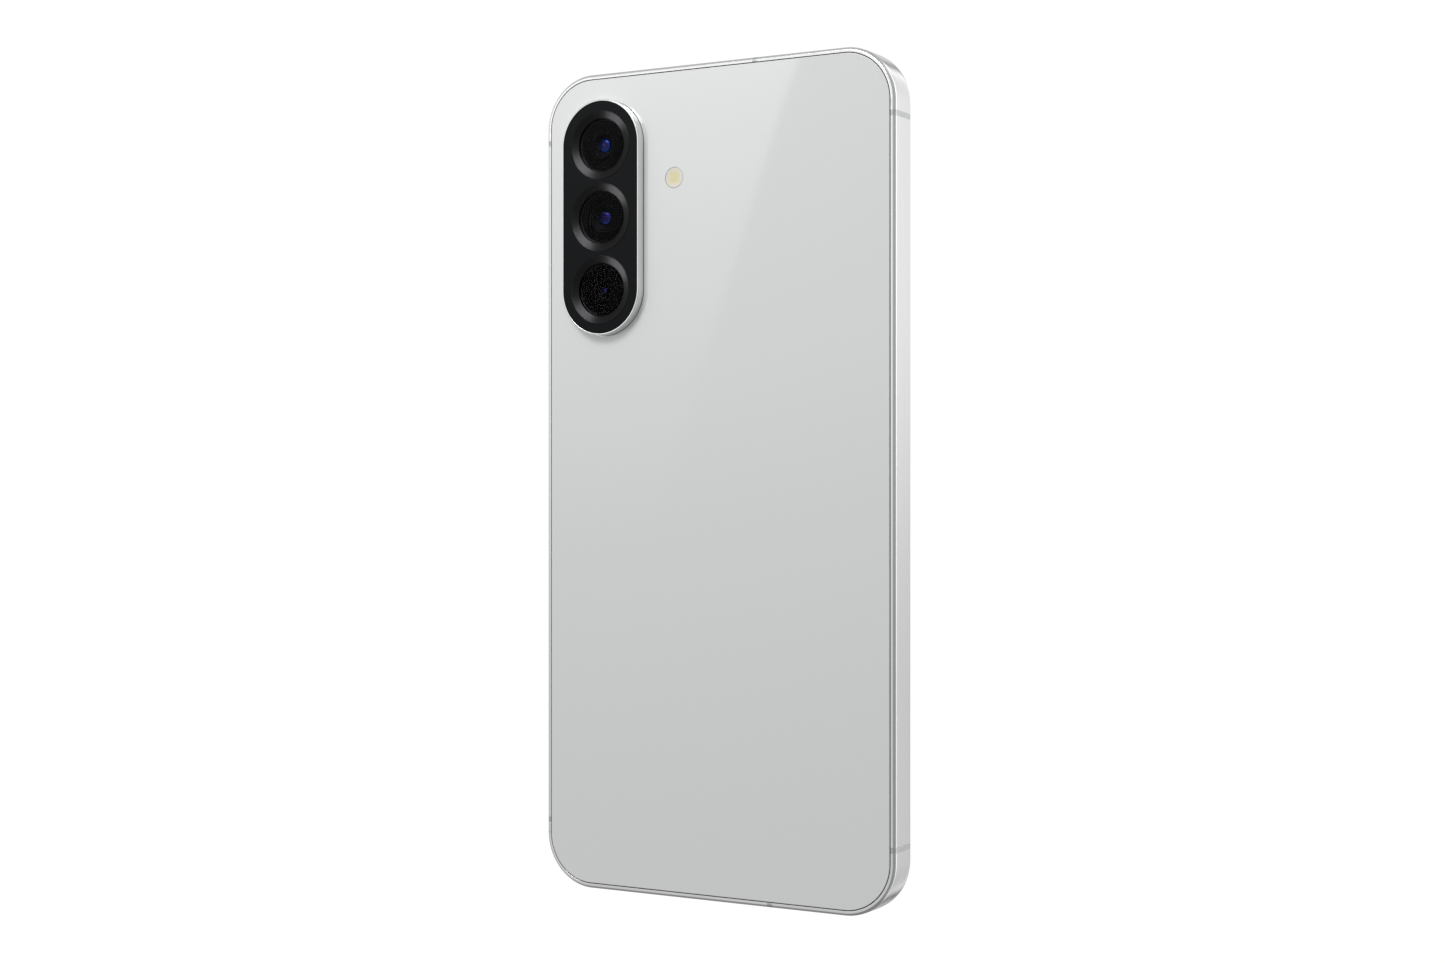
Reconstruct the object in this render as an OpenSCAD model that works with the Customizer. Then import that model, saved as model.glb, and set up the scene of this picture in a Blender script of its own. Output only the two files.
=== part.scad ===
// Smartphone with a metal frame, two glass faces and a pill-shaped camera island.
// The phone stands upright. X runs across its width, Y through its thickness and Z up its height.
// The display faces -Y, the back glass faces +Y, and the origin is the middle of the bottom edge.
// All sizes are in millimetres.

/* [Body] */
// Width across the frame
body_w = 77.5; // [70:0.5:94]
// Height from the bottom edge to the top edge
body_h = 162.2; // [140:0.2:196]
// Thickness from glass face to glass face
body_t = 7.4; // [6.1:0.1:9]
// Radius of the four corners, seen from the front
corner_r = 10.5; // [8.5:0.1:12.6]
// Size of the 45 degree chamfer along both edges of the frame
edge_chamfer = 0.5; // [0.3:0.05:0.7]
// Width of the flat lip between the chamfer and the glass
lip_w = 0.5; // [0.3:0.05:0.6]
// Depth of that lip below the glass face
lip_drop = 0.1; // [0:0.05:0.2]
// Thickness of the frame wall
wall_w = 2.6; // [2.4:0.1:3]
// Thickness of the plate that spans the frame behind the display
midplate_t = 0.45; // [0.35:0.05:0.6]
// Width of a plastic antenna band in the frame
band_w = 1.1; // [0.6:0.1:1.6]
// Distance of the side bands from the top and bottom edges
band_end = 13.05; // [12:0.05:20]
// Distance of the bottom band from the middle
band_bottom = 12.35; // [12:0.05:16]

/* [Glass and display] */
// Thickness of the front and back glass
glass_t = 0.6; // [0.45:0.05:0.75]
// Gap between the glass edge and the frame lip
glass_gap = 0.15; // [0.08:0.01:0.2]
// Small chamfer round the outer edge of each glass
glass_edge = 0.12; // [0.05:0.01:0.2]
// Thickness of the sealing tape under each glass
tape_t = 0.1; // [0.06:0.01:0.15]
// Thickness of the display panel
display_t = 1.0; // [0.8:0.05:1.2]
// Distance of the front camera from the top edge
selfie_drop = 7; // [6.2:0.1:9]

/* [Camera island] */
// Outside diameter of a lens ring
lens_ring_d = 13.65; // [11.4:0.05:16.4]
// Diameter of the clear window in a lens ring
window_d = 10.6; // [9:0.1:11]
// Cover left between two lens rings
lens_gap = 0.68; // [0.5:0.01:2]
// Cover left round the lens rings
cover_margin = 1.8; // [1.4:0.05:2.4]
// Width of the metal rim round the cover
rim_w = 0.42; // [0.3:0.01:0.6]
// Height of the island above the back glass
island_h = 1.85; // [1.5:0.05:2.3]
// Depth of the cone that leads from a ring's edge down to its window
ring_dish = 0.45; // [0.2:0.05:0.5]
// Distance from the side of the phone to the island
island_side = 4.91; // [4.5:0.01:7]
// Distance from the top of the phone to the island
island_top = 5.43; // [5:0.01:8]
// Diameter of the flash lens
flash_d = 4; // [3:0.1:5]
// Distance from the middle of the lens rings across to the flash
flash_across = 16.05; // [15:0.05:18]
// Distance from the top lens down to the flash
flash_down = 7.39; // [6:0.01:9]

/* [Keys and tray] */
// Length of the power key
power_len = 11; // [9:0.5:13]
// Length of the volume key
volume_len = 22; // [18:0.5:26]
// Width of both keys
key_w = 2.2; // [1.8:0.1:2.6]
// Height of the keys above the frame
key_proud = 0.35; // [0.2:0.05:0.5]
// Clearance all round a key in its slot
key_gap = 0.1; // [0.08:0.01:0.16]
// Distance from the top edge to the middle of the power key
power_drop = 68.2; // [64:0.1:72]
// Distance from the top edge to the middle of the volume key
volume_drop = 46.2; // [44:0.1:47]
// Travel of the power key
key_travel = 0.25; // [0.15:0.01:0.3]
// Tilt of the volume key each way, in degrees
rocker_angle = 1.3; // [0.8:0.1:1.4]
// Width of the card tray's outer end
tray_w = 17.5; // [17:0.1:18]
// Height of the card tray's outer end
tray_h = 2; // [1.8:0.1:2.3]
// Clearance round the card tray in its slot
tray_gap = 0.08; // [0.05:0.01:0.12]
// Radius of the eject hole in the card tray
eject_r = 0.5; // [0.4:0.05:0.6]

/* [Ports] */
// Outside width of the charging socket
usb_w = 8.94; // [8.6:0.02:9.2]
// Outside height of the charging socket
usb_h = 3.1; // [2.9:0.02:3.2]
// Radius of a loudspeaker hole
grille_r = 0.55; // [0.3:0.05:0.7]
// Number of loudspeaker holes
grille_count = 6; // [3:1:6]
// Distance between loudspeaker holes
grille_pitch = 1.6; // [1.5:0.05:1.7]
// Radius of a microphone hole
mic_r = 0.4; // [0.3:0.05:0.5]

/* [Inside] */
// Room kept for the board with the charging socket, from the bottom edge
bottom_zone = 24; // [24:0.5:30]
// Thickness of the boards
board_t = 0.8; // [0.6:0.05:1]
// Thickness of the two plastic brackets
bracket_t = 0.6; // [0.5:0.05:0.7]
// Thickness of a flexible printed circuit
flex_t = 0.12; // [0.08:0.01:0.15]
// Shank radius of a bracket screw
screw_r = 0.7; // [0.6:0.05:0.8]
// Focus travel of the main camera lens
focus_travel = 0.3; // [0.2:0.05:0.35]
// Stabiliser travel of the main camera each way
steady_travel = 0.15; // [0.1:0.01:0.2]
// Travel of the loudspeaker cone each way
cone_travel = 0.3; // [0.15:0.05:0.3]
// Travel of the eject rod
eject_travel = 0.8; // [0.5:0.1:0.8]

/* [Hidden] */
$fn = 96;

// Small values that many pieces share
cut = 1;              // how far a cutting shape runs past the face it cuts
slack = 0.05;         // clearance between pieces that are dropped into place

// Outline
half_w = body_w / 2;
half_t = body_t / 2;
core_x = half_w - corner_r;
inner_x = half_w - wall_w;
inner_top = body_h - wall_w;
front_wall = wall_w - 0.6;
lip_in = edge_chamfer + lip_w;
lip_y = half_t - lip_drop;
glass_in = lip_in + glass_gap;
panel_in = front_wall + 0.1;

// Levels through the thickness, from the display to the back glass
front_glass_y = glass_t - half_t;
front_ledge_y = front_glass_y + tape_t;
panel_y = front_glass_y + display_t;
plate_y0 = panel_y + slack;
plate_y1 = plate_y0 + midplate_t;
back_glass_y = half_t - glass_t;
back_ledge_y = back_glass_y - tape_t;
flex_y0 = back_ledge_y - flex_t - 0.08;
bracket_y1 = flex_y0 - 0.02;
bracket_y0 = bracket_y1 - bracket_t;
board_room = bracket_y0 - plate_y1 - board_t;
board_y0 = plate_y1 + 0.435 * board_room;
board_y1 = board_y0 + board_t;
sub_y0 = -board_t / 2;
sub_y1 = board_t / 2;
connector_h = 0.8;

// Camera island
lens_ring_r = lens_ring_d / 2;
window_r = window_d / 2;
cover_r = lens_ring_r + cover_margin;
rim_r = cover_r + rim_w;
lens_pitch = lens_ring_d + lens_gap;
island_x = half_w - island_side - rim_r;
wide_z = body_h - island_top - rim_r;
main_z = wide_z - lens_pitch;
macro_z = main_z - lens_pitch;
island_z0 = macro_z - rim_r;
island_y = half_t + island_h;
cover_y1 = island_y - 0.1;
cover_y0 = cover_y1 - 1.15;
window_t = 0.47;
window_y0 = cover_y0 + 0.2;
window_y1 = window_y0 + window_t;
rim_flange_y = back_glass_y - 0.3;
lens_stop_y = window_y0 - slack;
flash_x = island_x - flash_across;
flash_z = wide_z - flash_down;
main_can = 11;
wide_can = 9.6;
macro_can = 6.4;
can_y1 = back_glass_y - 0.3;
can_lid = 0.35;
sensor_y1 = plate_y1 + 0.75;

// Lens carrier and stabiliser frames of the main camera, stacked down from the lid of its can
steady_t = 0.45;
steady_gap = 0.1;
carrier_y1 = can_y1 - can_lid - focus_travel - slack;
carrier_y = [carrier_y1 - 0.5, carrier_y1];
steady_z_y = [carrier_y[0] - steady_gap - steady_t, carrier_y[0] - steady_gap];
steady_x_y = [steady_z_y[0] - steady_gap - steady_t, steady_z_y[0] - steady_gap];

// Front camera and earpiece
selfie_z = body_h - selfie_drop;
selfie_w = 5.5;
selfie_lens_r = 1.5;
earpiece_half = 6;
receiver_x0 = selfie_w / 2 + 1.45;
receiver_x1 = island_x - main_can / 2 - 0.8;
receiver_z0 = selfie_z - 3.2;
receiver_z1 = selfie_z + 3.1;
receiver_y1 = min(plate_y1 + 2.4, bracket_y0 - 0.1);

// Battery between the camera island and the bottom zone
battery_x = inner_x - 3.25;
battery_z0 = bottom_zone + 2.2;
battery_z1 = island_z0 - 1.1;
sheet_t = 0.1;
battery_y0 = plate_y1 + sheet_t;
battery_y1 = flex_y0 - slack;

// Card tray in the top edge, and the eject lever behind it
tray_x = -core_x + tray_w / 2 + 0.5;
tray_x0 = tray_x - 8;
tray_x1 = tray_x + 4.2;
tray_len = 19;
socket_wall = 0.15;
socket_h = bracket_y0 - board_y1 - 0.1;
socket_x0 = tray_x - 8.6;
socket_x1 = tray_x + 7.6;
tray_y = board_y1 + socket_h / 2;
tray_t = socket_h - 2 * socket_wall - 0.24;
eject_x = tray_x + 6.5;
lever_x = eject_x - 3;
rod_t = tray_t * 2 / 3;
lever_t = tray_t / 2;
lever_half = 0.6;
lever_z = inner_top - tray_len - 3;
lever_pin_r = 0.5;
lever_clear = 0.05;
rod_z0 = lever_z + lever_half + 0.2;
rod_z1 = inner_top - 0.3;
socket_z0 = lever_z - 1.85;
socket_z1 = inner_top - 0.8;

// Main board beside the cameras
board_x0 = -inner_x + 2.65;
board_x1 = island_x - rim_r - 1.2;
board_z0 = battery_z1 + 3;
board_step_z = selfie_z - 4.7;
board_step_x = tray_x + 9.5;
board_z1 = inner_top - 1.1;
connector_z = board_z0 + 1.6;
bracket_z0 = board_z0 + 4.4;
shield_x0 = board_x0 + 6.5;
shield_x1 = board_x1 - 5.5;
shield_z0 = board_z0 + 6.5;
shield_z1 = socket_z0 - 1.2;
shield_t = 0.15;

// Flexible circuits
main_flex_x = -8;
display_flex_x = 2;
battery_tab_x = board_x0 + 9.5;
flex_half = 4;
flex_leg_top = battery_z1 + 1.2;
flex_leg_bottom = battery_z0 - 1.2;
display_slot_z = bottom_zone + 0.5;

// Bottom zone
sub_z1 = bottom_zone - 0.4;
sub_x0 = -14.6;
sub_x1 = 12;
sub_connector_z = bottom_zone - 3.4;
usb_z0 = 0.6;
usb_z1 = 8.4;
usb_wall = 0.3;
usb_gap = 0.16;
usb_y = max(0, panel_y + usb_h / 2 + usb_gap + slack);
usb_x = [-usb_w / 2 - 0.2, usb_w / 2 + 0.2];
usb_span = usb_w - usb_h;
speaker_x0 = 12.6;
speaker_in = wall_w + 0.3;
speaker_z1 = bottom_zone - 1;
speaker_wall = 0.6;
speaker_x = (speaker_x0 + half_w - speaker_in) / 2;
speaker_z = 13.4;
cone_w = 12.2;
cone_h = 9;
basket_y0 = plate_y1 + 0.5;
basket_y1 = bracket_y1 - 0.5 - 0.15;
cone_y0 = basket_y1 - cone_travel - 0.4;
motor_x = -(half_w - 14.75);
motor_z = 12;
motor_r = 4.2;
motor_wall = 0.25;
motor_pin_r = 0.4;
motor_clear = 0.05;
motor_y1 = bracket_y0 - 0.1;
mic_x = -9.5;
top_mic_x = island_x - 4.8;
mic_depth = 2.4;
mic_half_w = 1.5;
mic_half_t = 0.8;

// Antenna cable beside the battery
cable_r = 0.4;
cable_x = -(inner_x - 1.35);
cable_y = bracket_y0 - cable_r - 0.1;
cable_top_z = board_z0 + 3.3;
cable_bottom_z = bottom_zone - 1.4;
cable_bottom_x = sub_x0 + 1;
cable_top_x = board_x0 + 1.4;
plug_r = 0.75;

// Side keys
key_r = key_w / 2;
key_flange = 1.5;
key_y = max(0, plate_y1 + key_flange + 0.08);
power_z = body_h - power_drop;
volume_z = body_h - volume_drop;
dome_h = 0.2;
dome_face_x = inner_x - 1.6;
dome_top_x = dome_face_x + dome_h;
rocker_ridge = 0.37;
rocker_x = inner_x - rocker_ridge - 0.03;
rocker_dome = 7.5;
rocker_throw = rocker_dome * sin(rocker_angle);
key_flex_z0 = power_z - power_len / 2 - 1;
key_flex_z1 = volume_z + volume_len / 2 + 1;

// Bosses that take the bracket screws, as [x, z]
boss_r = 1.3;
head_r = 1.2;
head_h = 0.35;
screw_len = 2.2;
top_bosses = [
    [board_x0 + 2, bracket_z0 + 1.9],
    [board_x1 - 2.5, bracket_z0 + 1.9],
    [board_x1 - 2.5, selfie_z - 7.7],
    [board_x0 + 2, socket_z0 + 1.3],
    [tray_x + 12, selfie_z - 8.7]
];
bottom_bosses = [
    [-(half_w - 6.75), bottom_zone - 4],
    [-15.6, bottom_zone - 4.4],
    [sub_x1 - 2.4, bottom_zone - 3.5]
];
all_bosses = concat(top_bosses, bottom_bosses);

// Colours
metal = "#b9bcbd";
plastic_grey = "#9a9d9e";
glass_grey = "#ccd0cf";
black = "#1d1f22";
dark_metal = "#2b2d31";
board_green = "#1f4a35";
steel = "#c3c6c9";
copper = "#b87d4b";

// ---------------------------------------------------------------- shapes that repeat

// A box given by its limits along X, Y and Z
module box(x, y, z) {
    translate([x[0], y[0], z[0]])
        cube([x[1] - x[0], y[1] - y[0], z[1] - z[0]]);
}

// A round disc or pin along Y, centred on x and z
module disc(x, z, r, y) {
    translate([x, y[1], z])
        rotate([90, 0, 0])
            cylinder(r = r, h = y[1] - y[0]);
}

// An outline drawn in X and Z, given thickness along Y
module slab(y) {
    translate([0, y[1], 0])
        rotate([90, 0, 0])
            linear_extrude(y[1] - y[0])
                children();
}

// A turned shape about an axis along Y: the child is its section as (radius, depth)
module turned(x, z, angle = 360) {
    translate([x, 0, z])
        rotate([-90, 0, 0])
            rotate_extrude(angle = angle)
                children();
}

// An upright pill along Z with its two centres span apart, centred on the origin
module pill(r, span, y) {
    box([-r, r], y, [-span / 2, span / 2]);
    for (end = [0, 1])
        mirror([0, 0, end])
            turned(0, -span / 2, 180)
                translate([0, y[0]])
                    square([r, y[1] - y[0]]);
}

// A pill that lies along X and runs through the frame wall along Z
module pill_through_z(r, span, z) {
    rotate([90, 0, 90])
        pill(r, span, z);
}

// A pill that stands along Z and runs through the frame wall along X
module pill_through_x(r, span, x) {
    rotate([0, 0, -90])
        pill(r, span, x);
}

// Both ends of the phone: the child is drawn at the bottom edge and again at the top edge
module both_ends(h) {
    for (end = [0, 1])
        translate([0, 0, end * h])
            mirror([0, 0, end])
                children();
}

// A section swept round a rectangle w by h with corner radius r that stands on the origin.
// The child is the section as (distance out from the corner centres, depth).
module swept(w, h, r) {
    side = w / 2 - r;
    for (hand = [0, 1])
        mirror([hand, 0, 0]) {
            translate([side, 0, r])
                linear_extrude(h - 2 * r)
                    children();
            both_ends(h)
                turned(side, r, 90)
                    children();
        }
    both_ends(h)
        translate([-side, 0, r])
            rotate([0, 90, 0])
                linear_extrude(2 * side)
                    children();
}

// A plate w by h with corner radius r that stands on the origin, with a chamfer on each face
module rounded_plate(w, h, r, y, front_edge = 0, back_edge = 0) {
    box([r - w / 2, w / 2 - r], y, [r, h - r]);
    swept(w, h, r)
        polygon(concat(
            [[0, y[0]]],
            front_edge > 0 ? [[r - front_edge, y[0]], [r, y[0] + front_edge]] : [[r, y[0]]],
            back_edge > 0 ? [[r, y[1] - back_edge], [r - back_edge, y[1]]] : [[r, y[1]]],
            [[0, y[1]]]
        ));
}

// A plate that follows the phone's outline, set in from it
module body_plate(inset, y, front_edge = 0, back_edge = 0) {
    translate([0, 0, inset])
        rounded_plate(body_w - 2 * inset, body_h - 2 * inset, corner_r - inset, y,
            front_edge, back_edge);
}

// A ring of tape that follows the phone's outline
module body_ring(outer, inner, y) {
    difference() {
        body_plate(outer, y);
        body_plate(inner, [y[0] - cut, y[1] + cut]);
    }
}

// The child placed at the middle of the camera island
module at_island() {
    translate([island_x, 0, main_z])
        children();
}

// The island's pill shape at a radius
module island_pill(r, y) {
    at_island()
        pill(r, 2 * lens_pitch, y);
}

// The child placed at the middle of the charging socket
module at_usb() {
    translate([0, usb_y, 0])
        children();
}

// A square block along Y, centred on x and z
module square_block(x, z, w, y) {
    box([x - w / 2, x + w / 2], y, [z - w / 2, z + w / 2]);
}

// ---------------------------------------------------------------- frame

// Section of the frame wall alone, or with the midplate that it carries
module frame_section(with_plate) {
    inside = with_plate ? 0 : corner_r - wall_w;
    wall_face = with_plate ? [[corner_r - wall_w, plate_y1]] : [];
    polygon(concat(
        [
            [corner_r - lip_in, -lip_y],
            [corner_r - edge_chamfer, -lip_y],
            [corner_r, edge_chamfer - lip_y],
            [corner_r, lip_y - edge_chamfer],
            [corner_r - edge_chamfer, lip_y],
            [corner_r - lip_in, lip_y],
            [corner_r - lip_in, back_ledge_y],
            [corner_r - wall_w, back_ledge_y]
        ],
        wall_face,
        [
            [inside, plate_y1],
            [inside, plate_y0],
            [corner_r - front_wall, plate_y0],
            [corner_r - front_wall, front_ledge_y],
            [corner_r - lip_in, front_ledge_y]
        ]
    ));
}

// The six places where plastic interrupts the metal wall
module band_blocks() {
    through_y = [-half_t - cut, half_t + cut];
    for (hand = [0, 1])
        mirror([hand, 0, 0])
            both_ends(body_h)
                box([inner_x, half_w + cut], through_y, [band_end - band_w / 2, band_end + band_w / 2]);
    box([-band_bottom - band_w / 2, -band_bottom + band_w / 2], through_y, [-cut, wall_w]);
    top_band = tray_x + tray_w / 2 + 1.15;
    box([top_band - band_w / 2, top_band + band_w / 2], through_y, [inner_top, body_h + cut]);
}

// Sound path from the slit at the top of the display to the earpiece receiver
module earpiece_passage() {
    slit_z = [body_h - 1.4, body_h - 0.8];
    box([-earpiece_half, earpiece_half], [-half_t - cut, plate_y0 - 0.1], slit_z);
    box([-earpiece_half, receiver_x0 + 6], [plate_y0 - 0.6, plate_y0], [body_h - front_wall - 0.1, slit_z[1]]);
    box([receiver_x0 + 1, receiver_x0 + 6], [plate_y0 - cut, plate_y1 + cut],
        [receiver_z1 - 2.4, receiver_z1 - 0.4]);
}

// Windows and slots in the midplate
module midplate_windows() {
    through_y = [plate_y0 - cut, plate_y1 + cut];
    square_block(0, selfie_z, selfie_w + 2 * slack + 0.3, through_y);
    square_block(0, battery_z0 + 10, 9.1, through_y);
    box([display_flex_x - flex_half - 0.3, display_flex_x + flex_half + 0.3], through_y,
        [display_slot_z - 0.4, display_slot_z + 0.4]);
    box(usb_x, through_y, [wall_w, usb_z1 + 0.2]);
}

// Everything that passes through the frame wall
module wall_openings() {
    at_usb()
        pill_through_z(usb_h / 2 + usb_gap, usb_span, [-cut, wall_w + 0.01]);
    for (i = [0 : grille_count - 1])
        translate([speaker_x0 + 1 + i * grille_pitch, 0, -cut])
            cylinder(r = grille_r, h = wall_w + 2 * cut);
    translate([mic_x, 0, -cut])
        cylinder(r = mic_r, h = wall_w + 2 * cut);
    translate([top_mic_x, 0, inner_top - cut])
        cylinder(r = mic_r, h = wall_w + 2 * cut);
    translate([tray_x, tray_y, 0])
        pill_through_z(tray_h / 2 + tray_gap, tray_w - tray_h, [inner_top - 0.01, body_h + cut]);
    translate([0, key_y, power_z])
        pill_through_x(key_r + key_gap, power_len - key_w, [inner_x - 0.01, half_w + cut]);
    translate([0, key_y, volume_z])
        pill_through_x(key_r + key_gap, volume_len - key_w + key_gap, [inner_x - 0.01, half_w + cut]);
}

module frame() {
    color(metal)
        difference() {
            union() {
                swept(body_w, body_h, corner_r)
                    frame_section(true);
                box([-core_x, core_x], [plate_y0, plate_y1], [corner_r, body_h - corner_r]);
                for (boss = all_bosses)
                    disc(boss[0], boss[1], boss_r, [plate_y1, bracket_y0]);
            }
            band_blocks();
            wall_openings();
            earpiece_passage();
            midplate_windows();
            for (boss = all_bosses)
                disc(boss[0], boss[1], screw_r + 0.02, [bracket_y0 - screw_len - 0.15, bracket_y0 + cut]);
        }
}

module antenna_bands() {
    color(plastic_grey)
        intersection() {
            swept(body_w, body_h, corner_r)
                frame_section(false);
            band_blocks();
        }
}

// ---------------------------------------------------------------- glass and display

module front_glass() {
    color(black)
        body_plate(glass_in, [-half_t, front_glass_y], front_edge = glass_edge);
}

module display_panel() {
    color("#101114")
        difference() {
            body_plate(panel_in, [front_glass_y, panel_y]);
            disc(0, selfie_z, selfie_lens_r + 0.4, [front_glass_y - cut, panel_y + cut]);
        }
}

module display_tape() {
    color(black)
        difference() {
            body_ring(glass_in + 0.1, front_wall - 0.05, [front_glass_y, front_ledge_y]);
            box([-earpiece_half - 0.5, earpiece_half + 0.5], [front_glass_y - cut, front_ledge_y + cut],
                [body_h - wall_w, body_h]);
        }
}

module display_flex() {
    x = [display_flex_x - flex_half, display_flex_x + flex_half];
    foot_y = sub_y1 + connector_h;
    color(copper) {
        box(x, [panel_y, foot_y + flex_t], [display_slot_z, display_slot_z + flex_t]);
        box(x, [foot_y, foot_y + flex_t], [sub_connector_z - 1.1, display_slot_z]);
    }
}

module back_glass() {
    color(glass_grey)
        difference() {
            body_plate(glass_in, [back_glass_y, half_t], back_edge = glass_edge);
            island_pill(rim_r + 0.08, [back_glass_y - cut, half_t + cut]);
            disc(flash_x, flash_z, flash_d / 2 + slack, [back_glass_y - cut, half_t + cut]);
        }
}

module back_glass_tape() {
    color(black)
        body_ring(glass_in + 0.1, wall_w - 0.1, [back_ledge_y, back_glass_y]);
}

// ---------------------------------------------------------------- camera island

module camera_rim() {
    inside_r = cover_r + slack;
    color(metal)
        difference() {
            union() {
                island_pill(rim_r, [rim_flange_y, island_y]);
                island_pill(rim_r + 0.85, [rim_flange_y, back_glass_y]);
            }
            island_pill(inside_r, [cover_y0, island_y + cut]);
            island_pill(inside_r - 0.65, [rim_flange_y - cut, cover_y0 + cut]);
            island_pill(inside_r, [rim_flange_y - cut, cover_y0 - 0.25]);
        }
}

module camera_cover() {
    color(black)
        difference() {
            island_pill(cover_r, [cover_y0, cover_y1]);
            for (step = [-1 : 1])
                disc(island_x, main_z + step * lens_pitch, lens_ring_r + 0.02, [cover_y0 - cut, cover_y1 + cut]);
        }
}

module lens_rings() {
    color(dark_metal)
        for (step = [-1 : 1])
            turned(island_x, main_z + step * lens_pitch)
                polygon([
                    [window_r - 0.4, cover_y0 - 0.2],
                    [lens_ring_r + 0.25, cover_y0 - 0.2],
                    [lens_ring_r + 0.25, cover_y0],
                    [lens_ring_r, cover_y0],
                    [lens_ring_r, cover_y1],
                    [lens_ring_r - 0.15, cover_y1 + 0.05],
                    [window_r, cover_y1 - ring_dish],
                    [window_r, window_y0],
                    [window_r - 0.4, window_y0]
                ]);
}

module lens_windows() {
    color("#14161c")
        for (step = [-1 : 1])
            disc(island_x, main_z + step * lens_pitch, window_r - 0.03, [window_y0, window_y1]);
}

module flash_lens() {
    color("#e8e4d8")
        union() {
            disc(flash_x, flash_z, flash_d / 2, [back_glass_y, half_t]);
            disc(flash_x, flash_z, flash_d / 2 + 0.4, [back_glass_y - 0.2, back_glass_y]);
        }
}

module flash_led() {
    color("#e6d27a")
        square_block(flash_x, flash_z, 2.2, [bracket_y1, back_glass_y - 0.2]);
}

// ---------------------------------------------------------------- cameras

module main_camera_can() {
    color(steel)
        difference() {
            square_block(island_x, main_z, main_can, [plate_y1, can_y1]);
            square_block(island_x, main_z, main_can - 0.6, [plate_y1 + 0.2, can_y1 - can_lid]);
            disc(island_x, main_z, 3.75, [can_y1 - can_lid - cut, can_y1 + cut]);
        }
}

module main_camera_sensor() {
    color(board_green)
        square_block(island_x, main_z, main_can - 1.4, [plate_y1 + 0.2, sensor_y1]);
}

module stabiliser_x_frame() {
    color(dark_metal)
        difference() {
            square_block(island_x, main_z, main_can - 1.3, steady_x_y);
            disc(island_x, main_z, 3.7, [steady_x_y[0] - cut, steady_x_y[1] + cut]);
        }
}

module stabiliser_z_frame() {
    color(plastic_grey)
        difference() {
            square_block(island_x, main_z, main_can - 1.7, steady_z_y);
            disc(island_x, main_z, 3.45, [steady_z_y[0] - cut, steady_z_y[1] + cut]);
        }
}

module main_camera_lens() {
    top_y = lens_stop_y - focus_travel - 0.05;
    color(black)
        union() {
            turned(island_x, main_z)
                polygon([
                    [0, sensor_y1 + slack],
                    [3.2, sensor_y1 + slack],
                    [3.2, top_y - 0.35],
                    [2.9, top_y],
                    [1.6, top_y],
                    [1.4, top_y - 0.25],
                    [0, top_y - 0.15]
                ]);
            square_block(island_x, main_z, 7.4, carrier_y);
        }
}

// A fixed-focus camera: a square body with a round lens barrel
module fixed_camera(z, body_size, barrel_r, glass_r) {
    top_y = lens_stop_y - 0.1;
    square_block(island_x, z, body_size, [plate_y1, can_y1]);
    turned(island_x, z)
        polygon([
            [0, can_y1 - 0.5],
            [barrel_r, can_y1 - 0.5],
            [barrel_r, top_y - 0.3],
            [barrel_r - 0.3, top_y],
            [glass_r + 0.15, top_y],
            [glass_r, top_y - 0.25],
            [0, top_y - 0.1]
        ]);
}

module wide_camera() {
    color(dark_metal)
        fixed_camera(wide_z, wide_can, 2.85, 1.45);
}

module macro_camera() {
    color(dark_metal)
        fixed_camera(macro_z, macro_can, 2, 0.5);
}

module front_camera() {
    color(dark_metal)
        union() {
            square_block(0, selfie_z, selfie_w, [plate_y0, plate_y1 + 2.2]);
            square_block(0, selfie_z, selfie_w + 1, [plate_y1, plate_y1 + 0.3]);
            disc(0, selfie_z, selfie_lens_r, [front_glass_y + slack, plate_y0]);
        }
}

// ---------------------------------------------------------------- sound and touch

module earpiece_receiver() {
    color(dark_metal)
        box([receiver_x0, receiver_x1], [plate_y1, receiver_y1], [receiver_z0, receiver_z1]);
}

module earpiece_mesh() {
    color(plastic_grey)
        box([-earpiece_half, earpiece_half], [front_ledge_y + 0.15, front_ledge_y + 0.35],
            [body_h - 1.4, body_h - 0.8]);
}

module fingerprint_sensor() {
    color(black)
        square_block(0, battery_z0 + 10, 8.9, [plate_y0, plate_y1]);
}

module microphones() {
    y = [-mic_half_t, mic_half_t];
    color(dark_metal) {
        box([mic_x - mic_half_w, mic_x + mic_half_w], y, [wall_w, wall_w + mic_depth]);
        box([top_mic_x - mic_half_w, top_mic_x + mic_half_w], y, [inner_top - mic_depth, inner_top]);
    }
}

// The space inside the loudspeaker, or its outside, following the rounded frame corner
module speaker_block(skin, y) {
    intersection() {
        body_plate(speaker_in + skin, y);
        box([speaker_x0 + skin, half_w], [y[0] - cut, y[1] + cut], [0, speaker_z1 - skin]);
    }
}

module loudspeaker_box() {
    port_x1 = speaker_x0 + 2 + (grille_count - 1) * grille_pitch;
    color(black)
        difference() {
            speaker_block(0, [plate_y1, bracket_y1]);
            speaker_block(speaker_wall, [plate_y1 + 0.5, bracket_y1 - 0.5]);
            box([speaker_x0 + speaker_wall, port_x1], [-0.7, 0.7],
                [speaker_in - cut, speaker_in + speaker_wall + cut]);
        }
}

module loudspeaker_driver() {
    well = [cone_w + 0.6, cone_h + 0.6];
    color(steel)
        difference() {
            box([speaker_x - well[0] / 2 - 0.4, speaker_x + well[0] / 2 + 0.4], [basket_y0, basket_y1],
                [speaker_z - well[1] / 2 - 0.4, speaker_z + well[1] / 2 + 0.4]);
            box([speaker_x - well[0] / 2, speaker_x + well[0] / 2], [cone_y0 - cone_travel - 0.08, basket_y1 + cut],
                [speaker_z - well[1] / 2, speaker_z + well[1] / 2]);
            turned(speaker_x, speaker_z)
                translate([2.2, basket_y0 + 0.25])
                    square([0.8, cone_y0 - basket_y0]);
        }
}

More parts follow.
